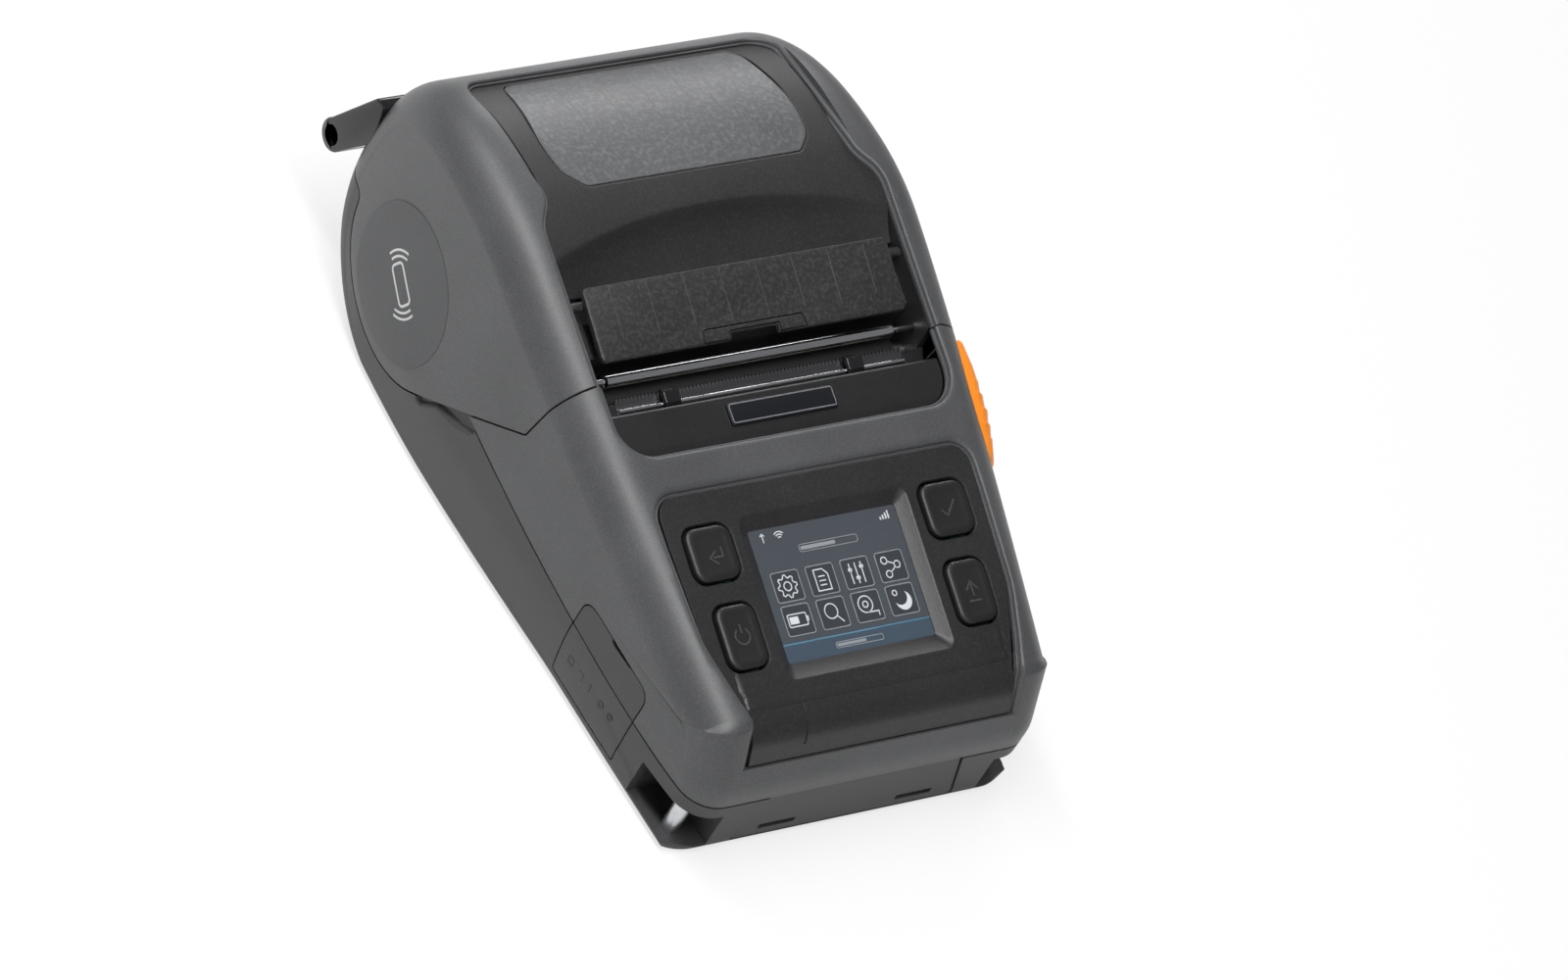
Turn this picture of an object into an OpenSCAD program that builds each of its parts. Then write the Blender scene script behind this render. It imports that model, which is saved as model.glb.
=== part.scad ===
// Portable label printer with a flip-up paper cover, colour display and peeler flap.
// X is across the printer, Y runs from the display end to the hinge, Z is up.
// Inside the file, u is the distance behind the front face; place() moves it to Y.

/* [Body] */
// Length from the front face to the round rear end
body_len = 175.5; // [172:0.5:182]
// Height of the crown over the roll
body_h = 73; // [71:0.5:76]
// Width at the widest place
body_w = 114.4; // [112:0.2:120]
// Width at the front face
front_w = 96.1; // [94:0.1:100]
// Width at the rear end
rear_w = 103.5; // [101:0.5:108]
// Distance of the widest place from the front
widest_u = 112; // [104:1:120]
// Radius of the round rear belly
belly_r = 37; // [36:0.5:38]
// Distance of the crown from the front face
crown_u = 121.1; // [116:0.5:126]
// Height of the nose edge where the deck starts
nose_h = 37.2; // [36.4:0.1:38]
// Height of the chin edge over the flat front
chin_h = 21; // [20:0.5:22]
// Lean of the chin face from upright
chin_deg = 23; // [21:0.5:25]
// Thickness of the housing walls
wall = 2.2; // [1.8:0.1:2.4]
// Radius along the long top edges
top_edge_r = 12.5; // [11:0.5:14]
// Radius of the upright front corners
front_edge_r = 9; // [7:0.5:10]
// Radius of the rear side edges
rear_edge_r = 10; // [8:0.5:11]
// Radius along the bottom edges
base_edge_r = 3.5; // [2.5:0.25:4]
// How far the sides tuck in at the base
base_tuck = 2.9; // [2:0.1:3.4]
// Gap between the moulded housings
seam_gap = 0.4; // [0.3:0.05:0.5]

/* [Paper cover] */
// Front edge of the cover on the top
cover_lip_u = 84.2; // [83.6:0.1:84.8]
// Radius of the round lower edge of each cover cheek
cheek_r = 26.8; // [26:0.1:27.6]
// Width of each rim beside the centre panel
rim_w = 11.2; // [10.8:0.1:11.8]
// How much wider each rim gets beside the window
rim_step = 4.6; // [4:0.1:5]
// Depth of the centre panel below the cover rims
panel_drop = 1.6; // [1.2:0.1:1.8]
// Width of the paper window at its widest
window_w = 70; // [67:0.5:71]
// Radius of the hinge pin
hinge_pin_r = 1.5; // [1.2:0.1:1.8]
// Radius of the hinge knuckles
knuckle_r = 4; // [3.6:0.1:4.4]
// Height of the peeler flap strip along the slope
flap_len = 17; // [16:0.2:17.6]

/* [Display and keys] */
// Slope of the key panel against the deck
panel_tilt = 2.1; // [1.7:0.1:2.5]
// Size of the display across
screen_w = 40.6; // [39:0.2:42]
// Size of the display along the slope
screen_h = 30.5; // [29:0.2:31.5]
// Width of the two upper keys
upper_key_w = 12.1; // [11:0.1:12.6]
// Length of the two upper keys
upper_key_l = 12.3; // [11:0.1:12.6]
// Width of the two lower keys
lower_key_w = 10.4; // [9.4:0.1:10.8]
// Length of the two lower keys
lower_key_l = 14.5; // [13.5:0.1:14.8]
// Height of the keys over the panel
key_proud = 0.8; // [0.5:0.1:1.2]
// Travel of a key
key_travel = 0.6; // [0.4:0.1:0.7]
// Gap around a key
key_gap = 0.5; // [0.35:0.05:0.6]
// Thickness of the key panel
panel_t = 2; // [1.6:0.1:2.2]

/* [Print mechanism] */
// Radius of the rubber platen roller
platen_r = 4.5; // [4.2:0.1:4.7]
// Radius of the platen shaft
shaft_r = 2; // [1.8:0.1:2.2]
// Radius of the bright peel rod
rod_r = 1.5; // [1.3:0.1:1.6]
// Gear tooth size (module)
gear_module = 0.8; // [0.78:0.01:0.82]
// Play between a shaft and its bore, on the radius
run_gap = 0.05; // [0.03:0.01:0.08]
// Number of points on the tear bar
tear_teeth = 39; // [30:1:45]

/* [Battery and side] */
// Length of the battery pack
battery_len = 77; // [72:1:78]
// Width of the battery pack at its floor
battery_w = 61.6; // [58:0.4:62]
// Height of the battery pack
battery_h = 14.2; // [13:0.2:14.4]
// How far the release button stands out of the side
button_proud = 2.3; // [1.8:0.1:2.6]
// Radius of the steel strap pins
strap_pin_r = 2.1; // [1.8:0.1:2.3]
// Height of the strap recesses
strap_h = 10.5; // [9.5:0.5:11]

/* [Paper holders] */
// Radius of the round ends of the paper holders
holder_r = 17; // [15:0.5:19]
// Travel of each paper holder
holder_travel = 11; // [8:0.5:12]
// Radius of the tub that the roll lies in
tub_r = 32.2; // [31.5:0.1:32.4]

/* [Hidden] */

$fn = 64;
light_grey = "#5a5c60";
dark_grey = "#3c3d40";
black = "#1d1e20";
metal = "#b9bcc0";
big = 400;
round_fn = 32;

// Axis of the paper roll and of the round belly
roll_u = body_len - belly_r;
roll_z = belly_r;

// Side outline: where the deck, the nose and the crown meet
nose_u = (nose_h - chin_h) * tan(chin_deg);
deck_deg = atan((body_h - nose_h) / (crown_u - nose_u));
panel_deg = deck_deg + panel_tilt;
crown_r = 70;
crown_end_u = crown_u + crown_r * tan(deck_deg / 2);
shoulder_power = 2.7;
toe_r = 3;
chin_r = 10;
nose_r = 5;

// Plan outline: the sides swell towards the widest place
front_power = 1.46;
waist_h = 18;
tuck_run = 52;
top_crease = 70;
rings = 4;

function deck_z(u) = nose_h + (u - nose_u) * tan(deck_deg);
function side_x(u) = body_w / 2 - (u < widest_u
    ? (body_w - front_w) / 2 * pow((widest_u - u) / widest_u, front_power)
    : (body_w - rear_w) / 2 * pow((u - widest_u) / (body_len - widest_u), 2));
function half_width(u, z) =
    side_x(u) - base_tuck * min(1, u / tuck_run) * max(0, 1 - z / waist_h);
function heading(a) = [cos(a), sin(a)];

// Points [u, z, outward angle] round a bend of radius r between two faces that meet at a corner
function bend(corner, a0, a1, r, n) =
    let (hub = corner - r / cos((a0 - a1) / 2) * heading((a0 + a1) / 2))
    [for (i = [0:n]) let (a = a0 + (a1 - a0) * i / n, p = hub + r * heading(a)) [p.x, p.y, a]];

// The shoulder behind the crown is a rounded quarter, squarer than a circle
function shoulder(n) = [for (i = [0:n]) let (
        t = 90 - 90 * i / n,
        c = max(cos(t), 0),
        s = max(sin(t), 0),
        k = 2 / shoulder_power,
        a = body_len - crown_end_u,
        b = body_h - roll_z)
    [crown_end_u + a * pow(c, k), roll_z + b * pow(s, k),
        atan2(pow(s, 2 - k) / b, pow(c, 2 - k) / a)]];

side_points = concat(
    bend([0, 0], 270, 180, toe_r, 3),
    bend([0, chin_h], 180, 180 - chin_deg, chin_r, 2),
    bend([nose_u, nose_h], 180 - chin_deg, 90 + deck_deg, nose_r, 4),
    [for (u = [nose_u + 15:18:crown_u - 15]) [u, deck_z(u), 90 + deck_deg]],
    bend([crown_u, body_h], 90 + deck_deg, 90, crown_r, 4),
    shoulder(9),
    [for (a = [-12:-13:-90]) [roll_u + belly_r * cos(a), roll_z + belly_r * sin(a), a]],
    [for (u = [20:24:roll_u]) [u, 0, -90]]);

// Edge radius and how far round each edge goes, by the outward angle of the face
function edge_r(a) = lookup(a, [[-90, base_edge_r], [-30, rear_edge_r], [60, top_edge_r],
    [110, top_edge_r], [150, front_edge_r], [200, front_edge_r], [270, base_edge_r]]);
function edge_end(a) = lookup(a, [[-90, 90], [-30, 80], [30, top_crease], [110, top_crease],
    [150, 90], [270, 90]]);

// One row of points across the body at a point of the side outline, depth d under the surface
function ring(p, d) =
    let (r = max(edge_r(p[2]) - d, 0.3), end = edge_end(p[2]), half = half_width(p[0], p[1]) - d)
    [for (s = [-1, 1], k = [0:rings]) let (f = end * k / rings, sink = d + r * (1 - cos(f)))
        [s * (half - r * (sin(end) - sin(f))), p[0] - sink * cos(p[2]), p[1] - sink * sin(p[2])]];

// The whole rounded body, depth d under its surface
module body_form(d) {
    rows = [for (p = side_points) each ring(p, d)];
    waist = [for (u = [15:20:roll_u + 10], s = [-1, 1]) [s * (side_x(u) - d), u, waist_h]];
    points = concat(rows, waist);
    hull() polyhedron(points, [for (i = [0:len(points) - 3]) [i, i + 1, i + 2]]);
}

module skin(outer, inner) {
    difference() {
        body_form(outer);
        body_form(inner);
    }
}

// Overall length with the hinge, and the move that centres the part
hinge_stand = 1.8;
hinge_u = body_len + knuckle_r + hinge_stand;
hinge_z = roll_z - 8;
hinge_len = rear_w - 3.5;
mid_u = (hinge_u + knuckle_r) / 2;

module place() {
    translate([0, -mid_u, 0]) children();
}

// A side outline (u, z) made solid between two places across the body
module across(x0, x1) {
    translate([x0, 0, 0]) rotate([90, 0, 90]) linear_extrude(x1 - x0) children();
}

// A plan outline (x, u) made solid between two heights
module upright(z0, z1) {
    translate([0, 0, z0]) linear_extrude(z1 - z0) children();
}

module both_sides() {
    children();
    mirror([1, 0, 0]) children();
}

module rounded(r) {
    offset(r = r) offset(delta = -r) children();
}

module softened(r) {
    offset(r = -r) offset(r = r) children();
}

// A pin or bore along X
module rod(x0, x1, u, z, r) {
    translate([x0, u, z]) rotate([0, 90, 0]) cylinder(h = x1 - x0, r = r);
}

// Side zones of the three housings
seam_front_z = 16.6;
seam_rise = 12.9;
seam_run = 101.7;
seam_power = 1.6;
seam_rear_z = roll_z - 6.3;
cheek_u = roll_u - 1.5;
cheek_z = roll_z - 0.5;
lip_z = deck_z(cover_lip_u) - 1;
neck_u = cover_lip_u + 1;
neck_z = lip_z - 8;
vee_u = cover_lip_u + 2.7;
vee_z = lip_z - 18.2;

// The opening between the rims, and what fills it from side to side
recess_w = body_w - 2 * rim_w;
panel_w = recess_w - 2 * rim_step;
outlet_w = recess_w - 1.2;
flap_w = recess_w - 8;
platen_len = recess_w - 10;
bar_w = recess_w - 12.8;
tub_w = recess_w - 2;
cheek_x = recess_w / 2 - 4;
cheek_t = 1.4;
plate_x0 = recess_w / 2;
plate_t = 1.8;
plate_x1 = plate_x0 + plate_t;

function seam_z(u) = seam_front_z + seam_rise * pow(max(u, 0) / seam_run, seam_power);

module cover_side() {
    hull() {
        translate([cheek_u, cheek_z]) circle(cheek_r, $fn = 96);
        polygon([[vee_u, vee_z], [vee_u + 1, vee_z], [vee_u + 1, vee_z + 1]]);
    }
    polygon([[cheek_u, seam_rear_z], [vee_u, vee_z], [neck_u, neck_z], [cover_lip_u, lip_z],
        [cover_lip_u, big], [big, big], [big, seam_rear_z]]);
}

module front_side() {
    polygon(concat([[-big, seam_front_z]],
        [for (u = [0:12:seam_run + 6]) [u, seam_z(u)]],
        [[roll_u, vee_z], [roll_u, big], [-big, big]]));
}

module cover_zone() {
    across(-big, big) cover_side();
}

module front_zone() {
    across(-big, big) difference() {
        front_side();
        offset(delta = seam_gap) cover_side();
    }
}

module lower_zone() {
    across(-big, big) difference() {
        square(2 * big, center = true);
        offset(delta = seam_gap) cover_side();
        front_side();
    }
}

// Battery bay
bay_gap = 0.4;
battery_z = wall;
battery_u = 0.3;
battery_top_w = battery_w - 8.8;
bay_rail_t = 1.6;

module battery_outline() {
    polygon([[-battery_w / 2, 0], [battery_w / 2, 0], [battery_top_w / 2, battery_h],
        [-battery_top_w / 2, battery_h]]);
}

// Boards, bosses and strap recesses in the lower housing
board_z = battery_z + battery_h + 1.8;
board_t = 1.6;
board_u0 = 12;
board_u1 = 74;
board_w = recess_w - 10;
boss_x = board_w / 2 - 3.5;
boss_r = 3;
board_boss_u = [24, board_u1 - 5];
chassis_boss_u = [87, 98];
chassis_z = board_z + 2;
strap_z = 2.5;
strap_pin_x = front_w / 2 - 4.55;
strap_x = strap_pin_x - 6;
strap_len = 17.5;
strap_pin_u = 6.5;
tub_t = 1.4;
seat_gap = 0.05;
cradle_t = 2.4;
cradle_x = tub_w / 3;

// Port cover on the left side
port_u0 = 25;
port_u1 = 50.5;
port_z0 = 3.9;
port_z1 = 28.9;
port_gap = 0.35;
port_pin_r = 0.8;
port_barrel_r = 1.5;
port_inset = port_barrel_r + 0.1;
port_pin_z = port_z0 + port_inset;
port_pocket_x = -(half_width(port_u0, port_pin_z) - wall - 1.2);
port_pin_grip = 1.4;
function port_x(u) = -(half_width(u, port_pin_z) - port_inset);
port_lean = atan((port_x(port_u0) - port_x(port_u1)) / (port_u1 - port_u0));

// A round piece along the hinge line of the port cover, which follows the side
module port_rod(before, after, r) {
    translate([port_x(port_u0), port_u0, port_pin_z]) rotate([0, 0, port_lean]) rotate([-90, 0, 0])
        translate([0, 0, -before]) cylinder(h = port_u1 - port_u0 + before + after, r = r);
}

module port_outline() {
    hull() {
        translate([port_u0 + 3, port_z1 - 5]) circle(3);
        translate([port_u1 - 5, port_z1 - 3.2]) circle(3.2);
        translate([port_u0, port_pin_z]) square([1, 8]);
        translate([port_u1 - 1, port_pin_z]) square([1, 8]);
    }
}

module port_pocket() {
    across(-big, port_pocket_x) {
        offset(delta = port_gap) port_outline();
        translate([port_u0 - port_gap, port_z0 - port_gap])
            square([port_u1 - port_u0 + 2 * port_gap, 4]);
    }
}

module strap_recess() {
    translate([0, 0, strap_z]) linear_extrude(strap_h) hull() {
        translate([strap_x + 3, strap_len - 3]) circle(3);
        translate([strap_x, -20]) square([1, 1]);
        translate([front_w / 2 + 20, strap_len - 1]) square([1, 1]);
        translate([front_w / 2 + 20, -20]) square([1, 1]);
    }
}

module board_boss(x, u, top) {
    hull() {
        translate([x, u, wall / 2]) cylinder(h = 1, r = boss_r + 1, $fn = round_fn);
        translate([x, u, top - 1]) cylinder(h = 1, r = boss_r, $fn = round_fn);
    }
}

module finger_wedge() {
    across(body_w / 2 - 1.6, big) translate([vee_u, vee_z])
        polygon([[11.6, -15.2], [16.1, -17.7], [24.1, -20.4], [29.1, -26.2], [31.1, -24.2], [14.1, -9.2]]);
}

module lower_housing() {
    color(dark_grey) place() difference() {
        union() {
            intersection() {
                skin(0, wall);
                lower_zone();
            }
            intersection() {
                body_form(wall / 2);
                union() {
                    both_sides() for (u = board_boss_u) board_boss(boss_x, u, board_z);
                    both_sides() for (u = chassis_boss_u) board_boss(boss_x, u, chassis_z);
                    both_sides() translate([battery_w / 2 + bay_gap, 0, wall / 2])
                        cube([bay_rail_t, battery_u + battery_len + 2.4, battery_h + wall / 2]);
                    translate([-battery_w / 2 - bay_gap, battery_u + battery_len + 2, wall / 2])
                        cube([battery_w + 2 * bay_gap, bay_rail_t, battery_h + wall / 2]);
                    both_sides() translate([strap_x - wall, 0, wall / 2])
                        cube([20, strap_len + wall, strap_z + strap_h + wall / 2]);
                    for (x = [-cradle_x, 0, cradle_x]) translate([x - cradle_t / 2, roll_u - tub_r, wall / 2])
                        cube([cradle_t, 2 * tub_r, tub_r / 2]);
                }
            }
        }
        rod(-tub_w / 2 - 4, tub_w / 2 + 4, roll_u, roll_z, tub_r + tub_t + seat_gap);
        translate([0, battery_u + battery_len + 1, battery_z]) rotate([90, 0, 0])
            linear_extrude(battery_len + 10) offset(delta = bay_gap) battery_outline();
        both_sides() strap_recess();
        port_pocket();
        both_sides() finger_wedge();
    }
}

// Key panel plane and its outline in plan
panel_u0 = 19.7;
panel_mid_u = 35;
panel_mid_z = deck_z(panel_mid_u) - 1.4;
panel_end_u = 58;
panel_foot_z = 27;
function panel_z(u) = panel_mid_z + (u - panel_mid_u) * tan(panel_deg);
function chin_u(z) = (z - chin_h) * tan(chin_deg);

// The chin face and the key face of the panel, depth d under them
function panel_line(d) =
    let (
        chin_shift = (0.1 + d) / cos(chin_deg),
        drop = d / cos(panel_deg),
        tc = tan(chin_deg),
        tp = tan(panel_deg),
        z = (panel_z(0) - drop + (chin_shift - chin_h * tc) * tp) / (1 - tc * tp))
    [[chin_u(panel_foot_z) + chin_shift, panel_foot_z], [chin_u(z) + chin_shift, z],
        [panel_end_u, panel_z(panel_end_u) - drop]];
function backwards(list) = [for (i = [len(list) - 1:-1:0]) list[i]];

module panel_plan() {
    rounded(6) polygon([for (s = [1, -1], p = s > 0 ? plan_side : backwards(plan_side))
        [s * p.x, p.y]]);
}
plan_side = [[36, -20], [36.4, 8], [39, 16], [42, 26], [43, 48], [43, panel_end_u]];

module on_panel() {
    translate([0, panel_u0, panel_z(panel_u0)]) rotate([panel_deg, 0, 0]) children();
}

// Keys: side, centre along the panel, width and length
upper_key_x = 32.45;
upper_key_y = 26.45;
lower_key_x = 31.8;
lower_key_y = 7.25;
key_corner_r = 3;
key_flange = 0.9;
key_flange_t = 0.8;
key_stem_r = 2;
board_drop = 5.4;
key_board_t = 1.2;
switch_h = 1;
screen_y = 14.9;
glass_t = 0.9;
glass_lip = 1.2;

module key_shape(w, l) {
    rounded(key_corner_r) square([w, l], center = true);
}

module at_keys() {
    both_sides() {
        translate([upper_key_x, upper_key_y]) key_shape(upper_key_w, upper_key_l);
        translate([lower_key_x, lower_key_y]) key_shape(lower_key_w, lower_key_l);
    }
}

post_places = [[32, 17.4], [30, -3.4]];
post_r = 1.5;

module display_panel() {
    color(black) place() {
        difference() {
            intersection() {
                across(-big, big) polygon(concat(panel_line(0), backwards(panel_line(panel_t))));
                upright(0, big) panel_plan();
            }
            on_panel() {
                translate([0, 0, -3 * panel_t]) linear_extrude(6 * panel_t)
                    offset(r = key_gap) at_keys();
                hull() {
                    translate([0, screen_y, 0.5]) cube([screen_w + 5, screen_h + 5, 1], center = true);
                    translate([0, screen_y, -panel_t]) cube([screen_w, screen_h, 0.2], center = true);
                }
            }
        }
        on_panel() both_sides() for (p = post_places)
            translate([p.x, p.y, -board_drop]) cylinder(h = board_drop - panel_t, r = post_r);
    }
}

module lcd_glass() {
    color("#20252b") place() on_panel()
        translate([-screen_w / 2 - glass_lip, screen_y - screen_h / 2 - glass_lip, -panel_t - glass_t])
            cube([screen_w + 2 * glass_lip, screen_h + 2 * glass_lip, glass_t]);
}

module lcd_module() {
    color("#8d9196") place() on_panel() {
        depth = board_drop - panel_t - glass_t;
        translate([0, screen_y, -board_drop]) linear_extrude(depth)
            rounded(1) square([screen_w + 3.6, screen_h + 4], center = true);
    }
}

key_board_y0 = -5;
key_board_y1 = 33.4;
key_board_x = upper_key_x + 7.5;

module key_board() {
    color("#1f5a3a") place() on_panel()
        translate([-key_board_x, key_board_y0, -board_drop - key_board_t])
            cube([2 * key_board_x, key_board_y1 - key_board_y0, key_board_t]);
}

module key_switches() {
    color("#c9ccd0") place() on_panel() both_sides()
        for (p = [[upper_key_x, upper_key_y], [lower_key_x, lower_key_y]])
            translate([p.x, p.y, -board_drop]) {
                translate([-2.6, -2.6, 0]) cube([5.2, 5.2, switch_h - 0.3]);
                cylinder(h = switch_h, r = 1.6);
            }
}

// One rubber key with its dished top edge, inner flange and stem
module key_cap(x, y, w, l) {
    color(black) place() on_panel() translate([x, y, 0]) {
        flange_top = -panel_t - 0.05;
        stem_end = -board_drop + switch_h + key_travel + 0.1;
        translate([0, 0, flange_top]) linear_extrude(key_proud - flange_top - 0.4) key_shape(w, l);
        translate([0, 0, key_proud - 0.4]) linear_extrude(0.4) offset(delta = -0.4) key_shape(w, l);
        translate([0, 0, flange_top - key_flange_t]) linear_extrude(key_flange_t)
            offset(delta = key_flange) key_shape(w, l);
        translate([0, 0, stem_end]) cylinder(h = flange_top - stem_end, r = key_stem_r);
    }
}

module key_back() {
    key_cap(-upper_key_x, upper_key_y, upper_key_w, upper_key_l);
}

module key_confirm() {
    key_cap(upper_key_x, upper_key_y, upper_key_w, upper_key_l);
}

module key_power() {
    key_cap(-lower_key_x, lower_key_y, lower_key_w, lower_key_l);
}

module key_feed() {
    key_cap(lower_key_x, lower_key_y, lower_key_w, lower_key_l);
}

// Label outlet between the front housing and the cover
outlet_u0 = cover_lip_u - 16.6;
outlet_corner_r = 8;
face_u0 = outlet_u0 + 2.2;
face_z0 = deck_z(face_u0) - 2.9;
face_len = 8.5;
face_u1 = face_u0 + face_len;
face_z1 = face_z0 + face_len * tan(deck_deg);
frame_t = 1.8;
tab_len = 2.5;
bar_u0 = face_u1 + 2.6;
bar_z0 = face_z1 - 4.4;
bar_depth = 3.7;
bar_deg = 26;
tooth_h = 0.8;
shelf_u1 = bar_u0 + (bar_depth - tooth_h - 0.3) * cos(bar_deg);
shelf_z1 = bar_z0 + (bar_depth - tooth_h - 0.3) * sin(bar_deg);

module outlet_plan() {
    rounded(outlet_corner_r) translate([-outlet_w / 2, outlet_u0]) square([outlet_w, 40]);
}

module outlet_frame() {
    color(black) place() intersection() {
        across(-body_w / 2, body_w / 2) polygon([[outlet_u0, face_z0 - 1.2], [face_u0, face_z0],
            [face_u1 - 0.6, face_z1 - 0.6 * tan(deck_deg)], [face_u1, face_z1 - 0.6], [bar_u0 - 0.5, bar_z0],
            [bar_u0, bar_z0], [shelf_u1, shelf_z1], [shelf_u1, shelf_z1 - frame_t],
            [bar_u0 - 0.5, bar_z0 - frame_t], [face_u1 - frame_t, face_z1 - 2.8],
            [face_u0 + 0.6, face_z0 - 2], [outlet_u0, face_z0 - 3]]);
        upright(0, big) outlet_plan();
    }
    color(black) place() across(outlet_corner_r - outlet_w / 2, outlet_w / 2 - outlet_corner_r)
        polygon([for (p = [[-tab_len, 0], [frame_t, 0], [frame_t, 3], [-tab_len, frame_t]])
            [outlet_u0 + p.x, deck_z(outlet_u0 + p.x) - wall / cos(deck_deg) - seat_gap - p.y]]);
}

module on_face(u) {
    translate([0, u, face_z0 + (u - face_u0) * tan(deck_deg)]) rotate([deck_deg, 0, 0]) children();
}

module badge_plate() {
    color(black) place() on_face((face_u0 + face_u1) / 2)
        linear_extrude(0.8) rounded(0.8) square([29.4, 5.4], center = true);
}

bar_t = 0.5;
lip_r = 0.65;
clip_x = bar_w * 0.32;
clip_w = 4.4;

module on_bar() {
    translate([0, bar_u0, bar_z0]) rotate([bar_deg, 0, 0]) children();
}

module tear_bar() {
    pitch = bar_w / tear_teeth;
    color(metal) place() on_bar() {
        linear_extrude(bar_t) polygon(concat(
            [[bar_w / 2, lip_r], [-bar_w / 2, lip_r]],
            [for (i = [0:tear_teeth - 1]) each [
                [-bar_w / 2 + i * pitch, bar_depth - tooth_h],
                [-bar_w / 2 + (i + 0.5) * pitch, bar_depth]]],
            [[bar_w / 2, bar_depth - tooth_h]]));
        rod(-bar_w / 2, bar_w / 2, lip_r, lip_r + 0.02, lip_r);
    }
}

module bar_clip() {
    top = 2 * lip_r + 0.05;
    on_bar() across(-clip_w / 2, clip_w / 2) polygon([[-0.3, top], [2 * lip_r, top],
        [bar_depth - 0.1, bar_t + 0.05], [bar_depth + 0.3, bar_t + 0.05],
        [bar_depth + 0.3, bar_t + 0.7], [bar_depth - 0.4, bar_t + 1.5], [lip_r, top + 1],
        [-0.3, top + 0.6]]);
}

module bar_clip_left() {
    color(black) place() translate([-clip_x, 0, 0]) bar_clip();
}

module bar_clip_right() {
    color(black) place() translate([clip_x, 0, 0]) bar_clip();
}

// Release button on the right side, and its pocket
button_u0 = cover_lip_u - 30.7;
button_gap = 0.5;
button_in_x = plate_x1 + 0.4;

// Outline of the button as distances from its front end and depths under the deck line
button_points = [[0, 7.1], [6.5, 11.2], [8.5, 11.7], [19.8, 9.9], [28.7, 7.6], [29.5, 5.1], [23.2, 4.2],
    [16.1, 3.7], [9.2, 4.1], [2.6, 5.3]];
rib_pitch = 3.4;

module button_outline() {
    rounded(1) polygon([for (p = button_points)
        [button_u0 + p.x, deck_z(button_u0 + p.x) - p.y]]);
}

module release_button() {
    color("#f08a1c") place() difference() {
        intersection() {
            body_form(-button_proud);
            across(button_in_x, big) button_outline();
        }
        for (i = [0:3]) let (u = button_u0 + 7 + i * rib_pitch)
            translate([side_x(u) + button_proud + 0.4, u, deck_z(u) - 8])
                rotate([-deck_deg, 0, 0]) cylinder(h = 14, r = 0.9, $fn = round_fn, center = true);
    }
}

module front_housing() {
    color(light_grey) place() difference() {
        intersection() {
            skin(0, wall);
            front_zone();
        }
        upright(panel_foot_z, big) panel_plan();
        upright(roll_z, big) outlet_plan();
        port_pocket();
        across(button_in_x - 3, big) offset(delta = button_gap) button_outline();
        both_sides() strap_recess();
    }
}

// Boards and sockets
module main_board() {
    color("#1f5a3a") place() upright(board_z, board_z + board_t) rounded(2)
        translate([-board_w / 2, board_u0]) square([board_w, board_u1 - board_u0]);
}

usb_u = 35;
usb_w = 9;
usb_h = 3.3;
jack_u = 45;
jack_w = 8;
jack_h = 7.4;
socket_x = port_pocket_x - 0.5;
socket_depth = 8;

module usb_socket() {
    color(metal) place() translate([0, 0, board_z + board_t]) difference() {
        across(socket_x, socket_x + socket_depth) translate([usb_u - usb_w / 2, 0])
            rounded(1.2) square([usb_w, usb_h]);
        across(socket_x - 1, socket_x + socket_depth - 1.5) translate([usb_u - usb_w / 2 + 0.4, 0.4])
            rounded(1) square([usb_w - 0.8, usb_h - 0.8]);
    }
}

module power_jack() {
    color(black) place() translate([0, 0, board_z + board_t]) difference() {
        translate([socket_x, jack_u - jack_w / 2, 0]) cube([socket_depth + 4, jack_w, jack_h]);
        rod(socket_x - 1, socket_x + socket_depth, jack_u, jack_h / 2, 2.75);
    }
}

// Port cover: a flap that hangs on a pin along its lower edge, with a finger notch on top
notch_u = 30;
notch_len = 12;

module port_cover() {
    color(black) place() difference() {
        union() {
            intersection() {
                skin(0, wall);
                across(-big, 0) port_outline();
            }
            port_rod(0, 0, port_barrel_r);
        }
        port_rod(1, 1, port_pin_r + run_gap);
        across(-big, 1.2 - side_x(port_u0)) translate([notch_u, port_z1 - 1.8]) square([notch_len, 4]);
    }
}

module port_cover_pin() {
    color(metal) place() port_rod(port_gap + port_pin_grip, port_gap + port_pin_grip, port_pin_r);
}

// Strap pins in the front corners
module strap_pin(s) {
    color(metal) place() translate([s * strap_pin_x, strap_pin_u, strap_z])
        cylinder(h = strap_h, r = strap_pin_r);
}

module strap_pin_left() {
    strap_pin(-1);
}

module strap_pin_right() {
    strap_pin(1);
}

// Platen and gear train
platen_u = cover_lip_u + 4;
platen_z = lip_z - 13.9;
platen_teeth = 14;
idler_teeth = 24;
pinion_teeth = 12;
function mesh_gap(a, b) = gear_module * (a + b) / 2 + 0.1;
idler_deg = 220;
idler_u = platen_u + mesh_gap(platen_teeth, idler_teeth) * cos(idler_deg);
idler_z = platen_z + mesh_gap(platen_teeth, idler_teeth) * sin(idler_deg);
motor_size = 19.2;
pinion_z = board_z + board_t + motor_size / 2 + 2.3;
pinion_deg = 180 + asin((idler_z - pinion_z) / mesh_gap(idler_teeth, pinion_teeth));
pinion_u = idler_u + mesh_gap(idler_teeth, pinion_teeth) * cos(pinion_deg);
gear_x1 = -plate_x1 - 0.5;
gear_x0 = gear_x1 - 2.6;
post_end_x = gear_x0 - 0.4;
plate_out_x = -cheek_x - cheek_t - 3;
motor_x0 = plate_out_x + 1;
motor_len = 19;
idler_post_r = 1.5;
pinion_shaft_r = 1;

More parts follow.
